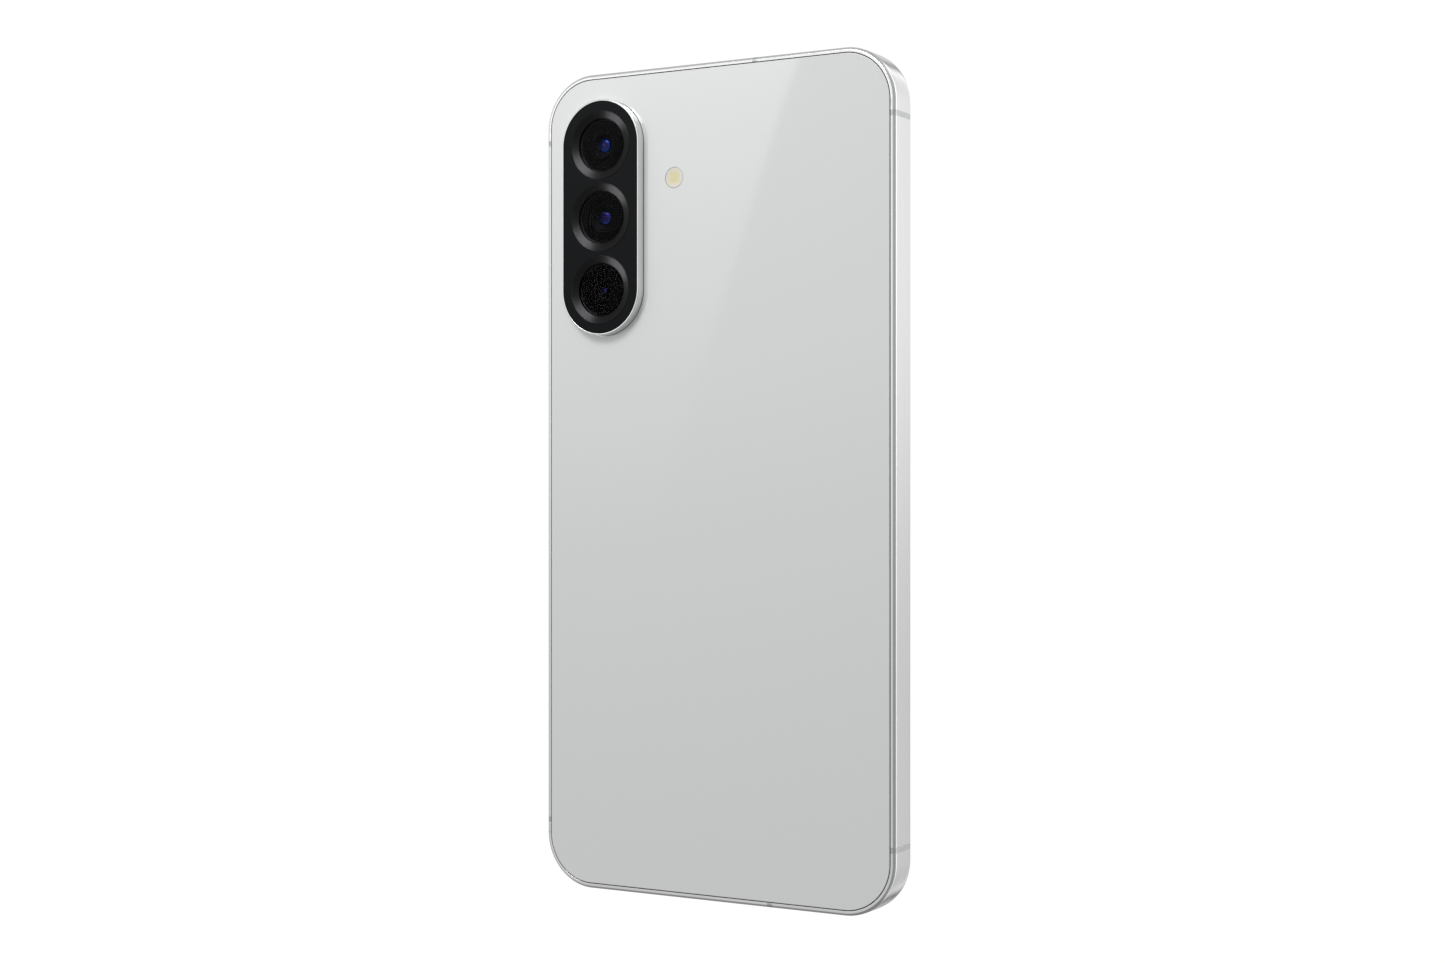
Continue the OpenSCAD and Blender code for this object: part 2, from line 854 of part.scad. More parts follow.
module loudspeaker_cone() {
    coil_y0 = max(basket_y0 + 0.35 + cone_travel, cone_y0 - 0.9);
    color(black)
        union() {
            box([speaker_x - cone_w / 2, speaker_x + cone_w / 2], [cone_y0, cone_y0 + 0.15],
                [speaker_z - cone_h / 2, speaker_z + cone_h / 2]);
            turned(speaker_x, speaker_z)
                translate([2.5, coil_y0])
                    square([0.2, cone_y0 - coil_y0]);
        }
}

module loudspeaker_mesh() {
    mesh_x1 = speaker_x0 + 2 + (grille_count - 1) * grille_pitch;
    color(plastic_grey)
        box([speaker_x0 + 0.2, mesh_x1], [-0.9, 0.9], [wall_w, speaker_in]);
}

module motor_case() {
    color(steel)
        union() {
            turned(motor_x, motor_z)
                polygon([
                    [motor_r - motor_wall, plate_y1],
                    [motor_r, plate_y1],
                    [motor_r, motor_y1],
                    [0, motor_y1],
                    [0, motor_y1 - motor_wall],
                    [motor_r - motor_wall, motor_y1 - motor_wall]
                ]);
            disc(motor_x, motor_z, motor_pin_r, [plate_y1, motor_y1 - motor_wall]);
        }
}

module motor_weight() {
    y = [plate_y1 + 0.35, motor_y1 - motor_wall - 0.35];
    color("#7d7f84")
        difference() {
            union() {
                disc(motor_x, motor_z, 1.2, y);
                turned(motor_x, motor_z, 180)
                    translate([0, y[0]])
                        square([motor_r - motor_wall - 0.35, y[1] - y[0]]);
            }
            disc(motor_x, motor_z, motor_pin_r + motor_clear, [y[0] - cut, y[1] + cut]);
        }
}

// ---------------------------------------------------------------- boards and power

// Outline of the main board beside the cameras, shortened by a margin all round
module board_outline(margin, low_z) {
    corner = corner_r - wall_w - 1;
    polygon([
        [board_x0 + margin, low_z + margin],
        [board_x1 - margin, low_z + margin],
        [board_x1 - margin, board_step_z - margin],
        [board_step_x - margin, board_step_z - margin],
        [board_step_x - margin, board_z1 - margin],
        [board_x0 + margin + corner, board_z1 - margin],
        [board_x0 + margin, board_z1 - margin - corner]
    ]);
}

module main_board() {
    color(board_green)
        difference() {
            slab([board_y0, board_y1])
                board_outline(0, board_z0);
            for (boss = top_bosses)
                disc(boss[0], boss[1], boss_r + 0.15, [board_y0 - cut, board_y1 + cut]);
        }
}

// A sheet-metal cover over the parts of the board between two heights
module shield(y, open_back) {
    lid = open_back ? [y[0] + shield_t, y[1] + cut] : [y[0] - cut, y[1] - shield_t];
    difference() {
        box([shield_x0, shield_x1], y, [shield_z0, shield_z1]);
        box([shield_x0 + shield_t, shield_x1 - shield_t], lid, [shield_z0 + shield_t, shield_z1 - shield_t]);
    }
}

module back_shield() {
    color(steel)
        shield([board_y1, bracket_y0 - 0.1], false);
}

module front_shield() {
    color(steel)
        shield([plate_y1, board_y0], true);
}

module processor() {
    color(black)
        square_block(shield_x1 - 8.5, (shield_z0 + shield_z1) / 2, 13, [board_y1, bracket_y0 - 0.1 - shield_t]);
}

module memory_chip() {
    color(black)
        square_block(shield_x0 + 7.5, (shield_z0 + shield_z1) / 2, 11.5, [board_y1, bracket_y0 - 0.1 - shield_t]);
}

module connector(x, y, z) {
    box([x - 3, x + 3], [y, y + connector_h], [z - 1.1, z + 1.1]);
}

module board_connectors() {
    color(black) {
        connector(battery_tab_x, board_y1, connector_z);
        connector(main_flex_x, board_y1, connector_z);
        connector(main_flex_x, sub_y1, sub_connector_z);
        connector(display_flex_x, sub_y1, sub_connector_z);
    }
}

module top_bracket() {
    color(dark_metal)
        difference() {
            slab([bracket_y0, bracket_y1])
                board_outline(0.3, bracket_z0);
            bracket_holes(top_bosses);
        }
}

// Screw holes with sunk heads
module bracket_holes(places) {
    for (boss = places) {
        disc(boss[0], boss[1], screw_r + 0.05, [bracket_y0 - cut, bracket_y1 + cut]);
        disc(boss[0], boss[1], head_r + 0.1, [bracket_y1 - head_h, bracket_y1 + cut]);
    }
}

module bottom_bracket() {
    color(dark_metal)
        difference() {
            intersection() {
                body_plate(wall_w + 0.3, [bracket_y0, bracket_y1]);
                box([-half_w, speaker_x0 - 0.3], [bracket_y0 - cut, bracket_y1 + cut], [0, bottom_zone]);
            }
            bracket_holes(bottom_bosses);
            box(usb_x, [bracket_y0 - cut, bracket_y1 + cut], [0, usb_z1 + 0.2]);
        }
}

module bracket_screws() {
    slot_w = 0.3;
    color(steel)
        for (boss = all_bosses)
            difference() {
                union() {
                    disc(boss[0], boss[1], screw_r, [bracket_y0 - screw_len, bracket_y1 - head_h]);
                    disc(boss[0], boss[1], head_r, [bracket_y1 - head_h, bracket_y1]);
                }
                for (arm = [[head_r - 0.4, slot_w / 2], [slot_w / 2, head_r - 0.4]])
                    box([boss[0] - arm[0], boss[0] + arm[0]], [bracket_y1 - 0.2, bracket_y1 + cut],
                        [boss[1] - arm[1], boss[1] + arm[1]]);
            }
}

module nfc_coil() {
    x = [board_x0 + 4, flash_x - 4.5];
    z = [bracket_z0 + 4, selfie_z - 5.5];
    y = [bracket_y1, bracket_y1 + 0.12];
    band = 5;
    color(copper)
        difference() {
            box(x, y, z);
            box([x[0] + band, x[1] - band], [y[0] - cut, y[1] + cut], [z[0] + band, z[1] - band]);
        }
}

module graphite_sheet() {
    color("#3a3c40")
        box([1.9 - battery_x, battery_x - 1.9], [plate_y1, plate_y1 + sheet_t], [battery_z0 + 1, battery_z1 - 1]);
}

module battery() {
    color("#2f3338")
        translate([0, 0, battery_z0])
            rounded_plate(2 * battery_x, battery_z1 - battery_z0, 1.5, [battery_y0, battery_y1]);
}

module battery_tab() {
    y0 = board_y1 + connector_h;
    color(copper)
        box([battery_tab_x - 2, battery_tab_x + 2], [y0, y0 + flex_t], [battery_z1, connector_z + 1.1]);
}

// The flexible circuit that runs over the battery, stepping down to a connector at each end
module main_flex() {
    x = [main_flex_x - flex_half, main_flex_x + flex_half];
    top_foot_y = board_y1 + connector_h;
    bottom_foot_y = sub_y1 + connector_h;
    color(copper)
        union() {
            box(x, [flex_y0, flex_y0 + flex_t], [flex_leg_bottom, flex_leg_top]);
            box(x, [top_foot_y, flex_y0 + flex_t], [flex_leg_top, flex_leg_top + flex_t]);
            box(x, [top_foot_y, top_foot_y + flex_t], [flex_leg_top + flex_t, connector_z + 1.1]);
            box(x, [bottom_foot_y, flex_y0 + flex_t], [flex_leg_bottom - flex_t, flex_leg_bottom]);
            box(x, [bottom_foot_y, bottom_foot_y + flex_t],
                [sub_connector_z - 1.1, flex_leg_bottom - flex_t]);
        }
}

// A thin screened cable with a press-on plug on each board
module antenna_cable() {
    color(black)
        union() {
            translate([cable_x, cable_y, cable_bottom_z])
                cylinder(r = cable_r, h = cable_top_z - cable_bottom_z);
            for (stop = [[cable_top_z, cable_top_x, board_y1], [cable_bottom_z, cable_bottom_x, sub_y1]]) {
                translate([cable_x, cable_y, stop[0]]) {
                    sphere(r = cable_r);
                    rotate([0, 90, 0])
                        cylinder(r = cable_r, h = stop[1] - cable_x);
                }
                disc(stop[1], stop[0], plug_r, [stop[2], cable_y + cable_r + slack]);
            }
        }
}

module sub_board() {
    arm = [usb_w / 2 + 0.25, usb_w / 2 + 3.1];
    y = [sub_y0, sub_y1];
    color(board_green)
        difference() {
            union() {
                box([sub_x0, sub_x1], y, [usb_z1, sub_z1]);
                for (hand = [0, 1])
                    mirror([hand, 0, 0])
                        box(arm, y, [wall_w + 0.6, usb_z1]);
            }
            disc(bottom_bosses[2][0], bottom_bosses[2][1], boss_r + 0.15, [sub_y0 - cut, sub_y1 + cut]);
            disc(bottom_bosses[1][0], bottom_bosses[1][1], boss_r + 0.15, [sub_y0 - cut, sub_y1 + cut]);
        }
}

// ---------------------------------------------------------------- charging socket

module usb_shell() {
    color(steel)
        at_usb()
            difference() {
                pill_through_z(usb_h / 2, usb_span, [usb_z0, usb_z1]);
                pill_through_z(usb_h / 2 - usb_wall, usb_span, [usb_z0 - cut, usb_z1 - 1]);
            }
}

module usb_tongue() {
    color(black)
        at_usb() {
            box([-3.35, 3.35], [-0.35, 0.35], [usb_z0 + 0.8, usb_z1 - 2]);
            box([-3.5, 3.5], [-1, 1], [usb_z1 - 2, usb_z1 - 1]);
        }
}

module usb_gasket() {
    color(black)
        at_usb()
            difference() {
                pill_through_z(usb_h / 2 + usb_gap, usb_span, [wall_w - 1.1, wall_w - 0.2]);
                pill_through_z(usb_h / 2, usb_span, [0, wall_w + cut]);
            }
}

// ---------------------------------------------------------------- side keys

// The small post on the inside of a key that presses its dome switch
module key_post(tip_x, base_x) {
    translate([tip_x, 0, 0])
        rotate([0, 90, 0])
            cylinder(r = 0.6, h = base_x - tip_x);
}

module power_key() {
    flange_x = [inner_x - 0.47, inner_x - 0.02];
    color(metal)
        translate([0, key_y, power_z])
            union() {
                pill_through_x(key_r, power_len - key_w, [flange_x[1], half_w + key_proud]);
                box(flange_x, [-key_flange, key_flange], [-power_len / 2 - 0.6, power_len / 2 + 0.6]);
                key_post(dome_top_x + 0.03 + key_travel, flange_x[0]);
            }
}

// The rocker bears on the wall with a round ridge, and turns about the middle of that ridge
module volume_key() {
    flange_x = [rocker_x - 0.4, rocker_x];
    color(metal)
        translate([0, key_y, volume_z])
            union() {
                pill_through_x(key_r, volume_len - key_w, [rocker_x, half_w + key_proud]);
                box(flange_x, [-key_flange, key_flange], [-volume_len / 2 - 0.4, volume_len / 2 + 0.4]);
                disc(rocker_x, 0, rocker_ridge, [-key_flange, key_flange]);
                for (end = [-1, 1])
                    translate([0, 0, end * rocker_dome])
                        key_post(dome_top_x + 0.05 + rocker_throw, flange_x[0]);
            }
}

module key_flex() {
    color(copper)
        union() {
            box([dome_face_x - flex_t, dome_face_x], [key_y - key_flange, key_y + key_flange],
                [key_flex_z0, key_flex_z1]);
            for (z = [power_z, volume_z - rocker_dome, volume_z + rocker_dome])
                translate([dome_face_x, key_y, z])
                    rotate([0, 90, 0])
                        cylinder(r1 = 1.4, r2 = 0.8, h = dome_h);
        }
}

module key_bracket() {
    color(steel)
        box([dome_face_x - flex_t - 0.3, dome_face_x - flex_t], [plate_y1, key_y + key_flange],
            [key_flex_z0, key_flex_z1]);
}

// ---------------------------------------------------------------- card tray

module sim_tray() {
    y = [tray_y - tray_t / 2, tray_y + tray_t / 2];
    color(metal)
        difference() {
            union() {
                translate([tray_x, tray_y, 0])
                    pill_through_z(tray_h / 2, tray_w - tray_h, [inner_top, body_h]);
                box([tray_x0, tray_x1], y, [inner_top - tray_len, inner_top]);
            }
            box([tray_x0 + 1.6, tray_x0 + 10.6], [y[0] - cut, y[1] + cut],
                [inner_top - tray_len + 1.6, inner_top - tray_len + 14.1]);
            translate([eject_x, tray_y, inner_top - cut])
                cylinder(r = eject_r, h = wall_w + 2 * cut);
        }
}

module sim_socket() {
    y = [board_y1, board_y1 + socket_h];
    color(steel)
        union() {
            difference() {
                box([socket_x0, socket_x1], y, [socket_z0, socket_z1]);
                box([socket_x0 + socket_wall, socket_x1 - socket_wall], [y[0] + socket_wall, y[1] - socket_wall],
                    [socket_z0 + socket_wall, socket_z1 + cut]);
            }
            disc(lever_x, lever_z, lever_pin_r, [y[0] + socket_wall, y[1] - socket_wall]);
        }
}

module eject_rod() {
    color(steel)
        box([eject_x - 0.45, eject_x + 0.45], [tray_y - rod_t / 2, tray_y + rod_t / 2], [rod_z0, rod_z1]);
}

module eject_lever() {
    y = [tray_y - lever_t / 2, tray_y + lever_t / 2];
    color(steel)
        difference() {
            union() {
                box([lever_x - 5.2, lever_x + 3.4], y, [lever_z - lever_half, lever_z + lever_half]);
                disc(lever_x, lever_z, 1.1, y);
            }
            disc(lever_x, lever_z, lever_pin_r + lever_clear, [y[0] - cut, y[1] + cut]);
        }
}

// ---------------------------------------------------------------- the model, piece by piece

frame();
antenna_bands();
front_glass();
display_panel();
display_tape();
display_flex();
back_glass();
back_glass_tape();
camera_rim();
camera_cover();
lens_rings();
lens_windows();
flash_lens();
flash_led();
main_camera_can();
main_camera_sensor();
stabiliser_x_frame();
stabiliser_z_frame();
main_camera_lens();
wide_camera();
macro_camera();
front_camera();
earpiece_receiver();
earpiece_mesh();
fingerprint_sensor();
main_board();
back_shield();
front_shield();
processor();
memory_chip();
board_connectors();
top_bracket();
nfc_coil();
graphite_sheet();
battery();
battery_tab();
main_flex();
antenna_cable();
sub_board();
usb_shell();
usb_tongue();
usb_gasket();
loudspeaker_box();
loudspeaker_driver();
loudspeaker_cone();
loudspeaker_mesh();
motor_case();
motor_weight();
microphones();
bottom_bracket();
bracket_screws();
power_key();
volume_key();
key_flex();
key_bracket();
sim_tray();
sim_socket();
eject_rod();
eject_lever();
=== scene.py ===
# %% [markdown]
# # A smartphone that shows its back
#
# The phone is a flat metal frame between two sheets of glass, with a pill-shaped camera island on its back.
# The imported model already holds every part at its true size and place, so it is loaded first and never moved.
# This lesson then models the pieces that the eye sees, with the small rounded edges that catch the light, and
# gives every part a finish of its own.

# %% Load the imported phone
import math

import bmesh
import bpy
from mathutils import Matrix, Vector


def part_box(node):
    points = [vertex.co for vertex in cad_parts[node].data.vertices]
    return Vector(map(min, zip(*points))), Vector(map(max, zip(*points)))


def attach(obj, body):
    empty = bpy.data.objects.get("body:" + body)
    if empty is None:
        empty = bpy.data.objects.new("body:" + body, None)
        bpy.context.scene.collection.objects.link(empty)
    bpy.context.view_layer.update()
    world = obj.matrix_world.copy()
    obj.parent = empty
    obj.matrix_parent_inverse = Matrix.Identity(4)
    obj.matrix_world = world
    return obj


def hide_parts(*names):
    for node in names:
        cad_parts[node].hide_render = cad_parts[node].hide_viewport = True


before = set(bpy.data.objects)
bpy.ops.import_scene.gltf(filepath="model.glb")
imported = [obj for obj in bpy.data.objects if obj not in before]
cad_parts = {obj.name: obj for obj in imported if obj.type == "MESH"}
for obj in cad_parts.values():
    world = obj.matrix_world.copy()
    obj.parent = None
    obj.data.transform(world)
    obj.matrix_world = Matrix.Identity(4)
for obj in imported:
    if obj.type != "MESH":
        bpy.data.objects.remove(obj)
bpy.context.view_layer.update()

mm = 0.001
weld = 0.0002 * mm

# %% [markdown]
# ## Where the sizes come from
#
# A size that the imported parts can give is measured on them, so that the two models can't drift apart. Some
# parts hold several equal solids, such as eight screws or three lens windows. Their meshes are loose
# triangles, so a copy is merged first, and then each solid is found by walking from face to face.

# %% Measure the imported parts
def solids_in(node):
    """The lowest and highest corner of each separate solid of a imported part."""
    bm = bmesh.new()
    bm.from_mesh(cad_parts[node].data)
    bmesh.ops.remove_doubles(bm, verts=bm.verts, dist=weld)
    waiting = set(bm.verts)
    boxes = []
    while waiting:
        reached = [waiting.pop()]
        corners = []
        while reached:
            vert = reached.pop()
            corners.append(vert.co.copy())
            for edge in vert.link_edges:
                other = edge.other_vert(vert)
                if other in waiting:
                    waiting.remove(other)
                    reached.append(other)
        boxes.append((Vector(map(min, zip(*corners))), Vector(map(max, zip(*corners)))))
    bm.free()
    return boxes


def middles(node):
    """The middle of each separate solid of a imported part, from the top one down."""
    return sorted(((low + high) / 2 for low, high in solids_in(node)), key=lambda point: -point.z)


frame_low, frame_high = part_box("frame")
body_w = frame_high.x - frame_low.x
body_h = frame_high.z - frame_low.z
half_w = body_w / 2
corner_r = 10.5 * mm
front_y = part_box("front_glass")[0].y
back_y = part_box("back_glass")[1].y
lip_y = frame_high.y
lens_middles = middles("lens_windows")
island = lens_middles[1].copy()
lens_pitch = lens_middles[0].z - lens_middles[1].z
print(f"frame {body_w / mm:.1f} x {body_h / mm:.1f} mm, lenses {lens_pitch / mm:.2f} mm apart")

# %% [markdown]
# ## Two ways to shape a machined part
#
# Nearly every part of a phone is either turned, such as a lens ring, or has one edge section that runs round
# a rounded rectangle, such as the frame, the glass and the keys. The first is a full spin of a section about
# an axis. The second is an extrusion along each straight side and a quarter spin at each corner, which keeps
# the mesh in clean strips. A pill is the same shape with no straight ends, so one helper makes both.

# %% Turn a section, or carry it round an outline
def only(made, kind):
    return [item for item in made if isinstance(item, kind)]


def string(bm, points, closed=False):
    """Vertices joined into a chain of edges, which comes back as vertices and edges."""
    verts = [bm.verts.new(point) for point in points]
    ends = verts[1:] + verts[:1] if closed else verts[1:]
    return verts + [bm.edges.new(pair) for pair in zip(verts, ends)]


def turned(section, middle=Vector(), steps=72, closed=False):
    """A turned solid about an axis along Y: the section is pairs of radius and depth."""
    bm = bmesh.new()
    line = string(bm, [(middle.x + r, y, middle.z) for r, y in section], closed)
    bmesh.ops.spin(bm, geom=line, cent=(middle.x, 0, middle.z), axis=(0, 1, 0), angle=math.tau,
                   steps=steps, use_merge=True)
    return bm


def rod(radius, depth, middle, steps):
    """A plain round bar along Y between two depths."""
    return turned([(0, depth[0]), (radius, depth[0]), (radius, depth[1]), (0, depth[1])], middle, steps)


def swept(section, across, up, radius, steps=16, closed=False):
    """A section of pairs, out from the corner centres and depth along Y, carried round a rounded rectangle
    that stands on the origin. An open section that starts and ends at 0 becomes a solid plate."""
    bm = bmesh.new()
    side, rise = across / 2 - radius, up - 2 * radius
    line = string(bm, [(side + out, y, radius) for out, y in section], closed)
    edges = only(line, bmesh.types.BMEdge)
    for run, corner in (((0, 0, rise), (side, 0, up - radius)), ((-2 * side, 0, 0), (-side, 0, up - radius)),
                        ((0, 0, -rise), (-side, 0, radius)), ((2 * side, 0, 0), (side, 0, radius))):
        if Vector(run).length > weld:
            made = bmesh.ops.extrude_edge_only(bm, edges=edges)["geom"]
            bmesh.ops.translate(bm, verts=only(made, bmesh.types.BMVert), vec=run)
            edges = only(made, bmesh.types.BMEdge)
        geom = list({vert for edge in edges for vert in edge.verts}) + edges
        made = bmesh.ops.spin(bm, geom=geom, cent=corner, axis=(0, 1, 0), angle=-math.pi / 2, steps=steps)
        edges = only(made["geom_last"], bmesh.types.BMEdge)
    bmesh.ops.remove_doubles(bm, verts=bm.verts, dist=weld)
    bmesh.ops.holes_fill(bm, edges=[edge for edge in bm.edges if edge.is_boundary])
    return bm


def plate(across, up, radius, depth, back_flare=0, steps=16):
    """A rounded plate of even thickness. With a flare its far edge opens out at 45 degrees and runs on."""
    section = [(0, depth[0]), (radius, depth[0]), (radius, depth[1])]
    if back_flare:
        section[2:] = [(radius, depth[1] - back_flare), (radius + back_flare, depth[1]),
                       (radius + back_flare, depth[1] + 1 * mm)]
    return swept(section + [(0, section[-1][1])], across, up, radius, steps)


# %% [markdown]
# ## Edges that catch the light
#
# No real edge is perfectly sharp: a machined one has a tiny radius, and it shows as a thin bright line. So
# the sharp edges of each piece are bevelled by a few hundredths of a millimetre. After that the faces are
# shaded smooth, and a Weighted Normal modifier keeps the large flat faces flat.

# %% Round edges, cut, join and dress a piece
def round_edges(bm, width, segments=3, where=lambda point: True):
    """Bevels the sharp edges whose middles the test accepts."""
    bmesh.ops.recalc_face_normals(bm, faces=bm.faces)
    sharp = [edge for edge in bm.edges
             if len(edge.link_faces) == 2 and edge.calc_face_angle(0) > math.radians(30)
             and where((edge.verts[0].co + edge.verts[1].co) / 2)]
    bmesh.ops.bevel(bm, geom=sharp, offset=width, offset_type="OFFSET", affect="EDGES", segments=segments,
                    profile=0.5, material=-1, clamp_overlap=True)
    return bm


def solid(bm, name="tool"):
    """An object made from a bmesh, with its seams closed and its faces outwards."""
    bmesh.ops.remove_doubles(bm, verts=bm.verts, dist=weld)
    bmesh.ops.recalc_face_normals(bm, faces=bm.faces)
    mesh = bpy.data.meshes.new(name)
    bm.to_mesh(mesh)
    bm.free()
    piece = bpy.data.objects.new(name, mesh)
    bpy.context.scene.collection.objects.link(piece)
    return piece


def combined(piece, tool, operation="DIFFERENCE"):
    """Cuts the tool out of the piece, or joins it on, and removes the tool."""
    step = piece.modifiers.new("combine", "BOOLEAN")
    step.operation = operation
    step.solver = "EXACT"
    step.object = tool
    bpy.context.view_layer.update()
    shape = bpy.data.meshes.new_from_object(piece.evaluated_get(bpy.context.evaluated_depsgraph_get()))
    piece.modifiers.clear()
    piece.data = shape
    bpy.data.objects.remove(tool)
    return piece


def dress(piece, finish, replaces=(), body="phone"):
    """Shades a finished piece, gives it its finish, hangs it on its body's empty and hides the imported parts
    that it replaces.
    """
    for face in piece.data.polygons:
        face.use_smooth = True
    piece.data.set_sharp_from_angle(angle=math.radians(40))
    even = piece.modifiers.new("even faces", "WEIGHTED_NORMAL")
    even.keep_sharp = True
    piece.data.materials.clear()
    piece.data.materials.append(finish)
    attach(piece, body)
    if replaces:
        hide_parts(*replaces)
    print(f"{piece.name}: {len(piece.data.polygons)} faces, rides on {body}")
    return piece


def moved(bm, matrix):
    bmesh.ops.transform(bm, matrix=matrix, verts=bm.verts)
    return bm


def gathered(*parts):
    """Several bmeshes as one, for a tool that cuts in many places at once."""
    bm = bmesh.new()
    for part in parts:
        mesh = bpy.data.meshes.new("part")
        part.to_mesh(mesh)
        part.free()
        bm.from_mesh(mesh)
        bpy.data.meshes.remove(mesh)
    return bm


def block(low, high):
    """A plain box between two corners."""
    bm = bmesh.new()
    bmesh.ops.create_cube(bm, size=1)
    low, high = Vector(low), Vector(high)
    bmesh.ops.scale(bm, verts=bm.verts, vec=high - low)
    bmesh.ops.translate(bm, verts=bm.verts, vec=(low + high) / 2)
    return bm


# %% [markdown]
# ## Finishes
#
# A finish is a small node tree on one Principled shader. A noise in Object coordinates drives the colour, the
# roughness and a fine bump, because real metal, plastic and coated glass vary a little everywhere. What is
# the same all over, such as how metallic a surface is, is set on the shader's own socket.

# %% Build node trees
def node(finish, kind, links=None, **settings):
    """Adds a node. Settings are its properties, and links are its inputs, as sockets or plain values."""
    made = finish.node_tree.nodes.new(kind)
    for name, value in settings.items():
        setattr(made, name, value)
    for name, value in (links or {}).items():
        if isinstance(value, bpy.types.NodeSocket):
            finish.node_tree.links.new(value, made.inputs[name])
        else:
            made.inputs[name].default_value = value
    return made


def start_finish(name, **constants):
    """A material with one Principled shader, whose constants are set on its own sockets."""
    finish = bpy.data.materials.new(name)
    finish.use_nodes = True
    shader = finish.node_tree.nodes["Principled BSDF"]
    for socket, value in constants.items():
        shader.inputs[socket.replace("_", " ")].default_value = value
    return finish, shader


def wire(finish, source, target):
    finish.node_tree.links.new(source, target)


def colour(text):
    """A hexadecimal colour, as linear light."""
    channels = [int(text[i:i + 2], 16) / 255 for i in (0, 2, 4)]
    return tuple(c / 12.92 if c <= 0.04045 else ((c + 0.055) / 1.055) ** 2.4 for c in channels) + (1.0,)


def noise_at(finish, scale, stretch=(1, 1, 1), detail=3):
    """A noise in the phone's own frame, in grains per metre, stretched along the axes."""
    place = node(finish, "ShaderNodeTexCoord")
    mapping = node(finish, "ShaderNodeMapping", {"Vector": place.outputs["Object"], "Scale": stretch})
    return node(finish, "ShaderNodeTexNoise", {"Vector": mapping.outputs["Vector"], "Scale": scale,
                                               "Detail": detail}).outputs["Fac"]


def maths(tree, operation, *values):
    """The result of one Math node, from sockets or numbers."""
    return node(tree, "ShaderNodeMath", dict(enumerate(values)), operation=operation).outputs[0]


def mapped(tree, value, low, high, before, after, shape="LINEAR"):
    """A value that goes from one number to another as the input goes from low to high."""
    links = {"Value": value, "From Min": low, "From Max": high, "To Min": before, "To Max": after}
    return node(tree, "ShaderNodeMapRange", links, interpolation_type=shape).outputs["Result"]


def mixed(finish, factor, first, second):
    """A blend of two colours, each a socket or a value."""
    links = {"Factor": factor, 6: first, 7: second}
    return node(finish, "ShaderNodeMix", links, data_type="RGBA").outputs[2]


def ramped(finish, factor, stops):
    """A colour that runs through several shades, each at its own position."""
    ramp = node(finish, "ShaderNodeValToRGB", {"Fac": factor})
    elements = ramp.color_ramp.elements
    for element, (position, shade) in ((elements[0], stops[0]), (elements[1], stops[-1])):
        element.position = position
        element.color = colour(shade)
    for position, shade in stops[1:-1]:
        elements.new(position).color = colour(shade)
    return ramp.outputs["Color"]


def bumped(finish, shader, height, distance, strength=1.0):
    """Raises the surface by a height, as a bump of the shader's normal."""
    bump = node(finish, "ShaderNodeBump", {"Height": height, "Distance": distance, "Strength": strength})
    wire(finish, bump.outputs["Normal"], shader.inputs["Normal"])


def grained(name, dark, light, scale, roughness=(0.4, 0.5), bump=0.0, stretch=(1, 1, 1), **constants):
    """A finish whose colour, roughness and bump follow one grain."""
    finish, shader = start_finish(name, **constants)
    grain = noise_at(finish, scale, stretch)
    wire(finish, ramped(finish, grain, [(0.35, dark), (0.65, light)]), shader.inputs["Base Color"])
    wire(finish, mapped(finish, grain, 0.3, 0.7, *roughness), shader.inputs["Roughness"])
    if bump:
        bumped(finish, shader, grain, bump)
    return finish


# %% [markdown]
# ## The frame
#
# The frame is milled from one block of aluminium. Its wall is flat outside, with a 45 degree chamfer and a
# narrow lip on both edges, and it carries a ledge for each glass and a thin plate across the middle. One open
# section that starts and ends at the corner centres gives all of that in a single sweep. The bosses, the
# gaps for the antenna bands and the openings are joined and cut afterwards.

# %% Section and sweep of the frame
chamfer = 0.5 * mm
lip_w = 0.5 * mm
wall_w = 2.6 * mm
front_wall = 2.0 * mm
glass_gap = 0.15 * mm
lip_in = chamfer + lip_w
lip_lean = 0.02 * mm
plate_y = [corner.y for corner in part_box("fingerprint_sensor")]
back_ledge_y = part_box("back_glass_tape")[0].y
front_ledge_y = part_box("display_tape")[1].y


def crown():
    """The flat side swells by a few hundredths of a millimetre, mostly near its edges."""
    half = lip_y - chamfer
    return [(corner_r - 0.05 * mm * abs(share) ** 4, share * half)
            for share in (-1, -0.87, -0.7, -0.45, 0.45, 0.7, 0.87, 1)]


def wall_section():
    """The outside of the wall, from the front ledge round to the back ledge."""
    return [
        (corner_r - front_wall, front_ledge_y),
        (corner_r - lip_in, front_ledge_y),
        (corner_r - lip_in, -lip_y),
        (corner_r - chamfer, lip_lean - lip_y),
        *crown(),
        (corner_r - chamfer, lip_y - lip_lean),
        (corner_r - lip_in, lip_y),
        (corner_r - lip_in, back_ledge_y),
        (corner_r - wall_w, back_ledge_y),
    ]


edge_radius = 0.06 * mm
section = ([(0, plate_y[0]), (corner_r - front_wall, plate_y[0])] + wall_section()
           + [(corner_r - wall_w, plate_y[1]), (0, plate_y[1])])
frame_blank = round_edges(swept(section, body_w, body_h, corner_r, steps=32), edge_radius)
frame_piece = solid(frame_blank, "metal_frame")
print(f"frame sweep: {len(frame_piece.data.polygons)} faces")

# %% [markdown]
# ### Bosses, gaps and openings
#
# Each cut is one closed tool. One exact Boolean joins the bosses on, and two more take all the tools out. The
# tools open out a little at the outside, which leaves the small chamfer that every hole in a real frame has.

# %% Tools for the frame
overrun = 1 * mm
flare = 0.12 * mm
bosses = middles("bracket_screws")
bracket_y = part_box("top_bracket")[0].y
boss_r = 1.3 * mm
thread_r = 0.72 * mm


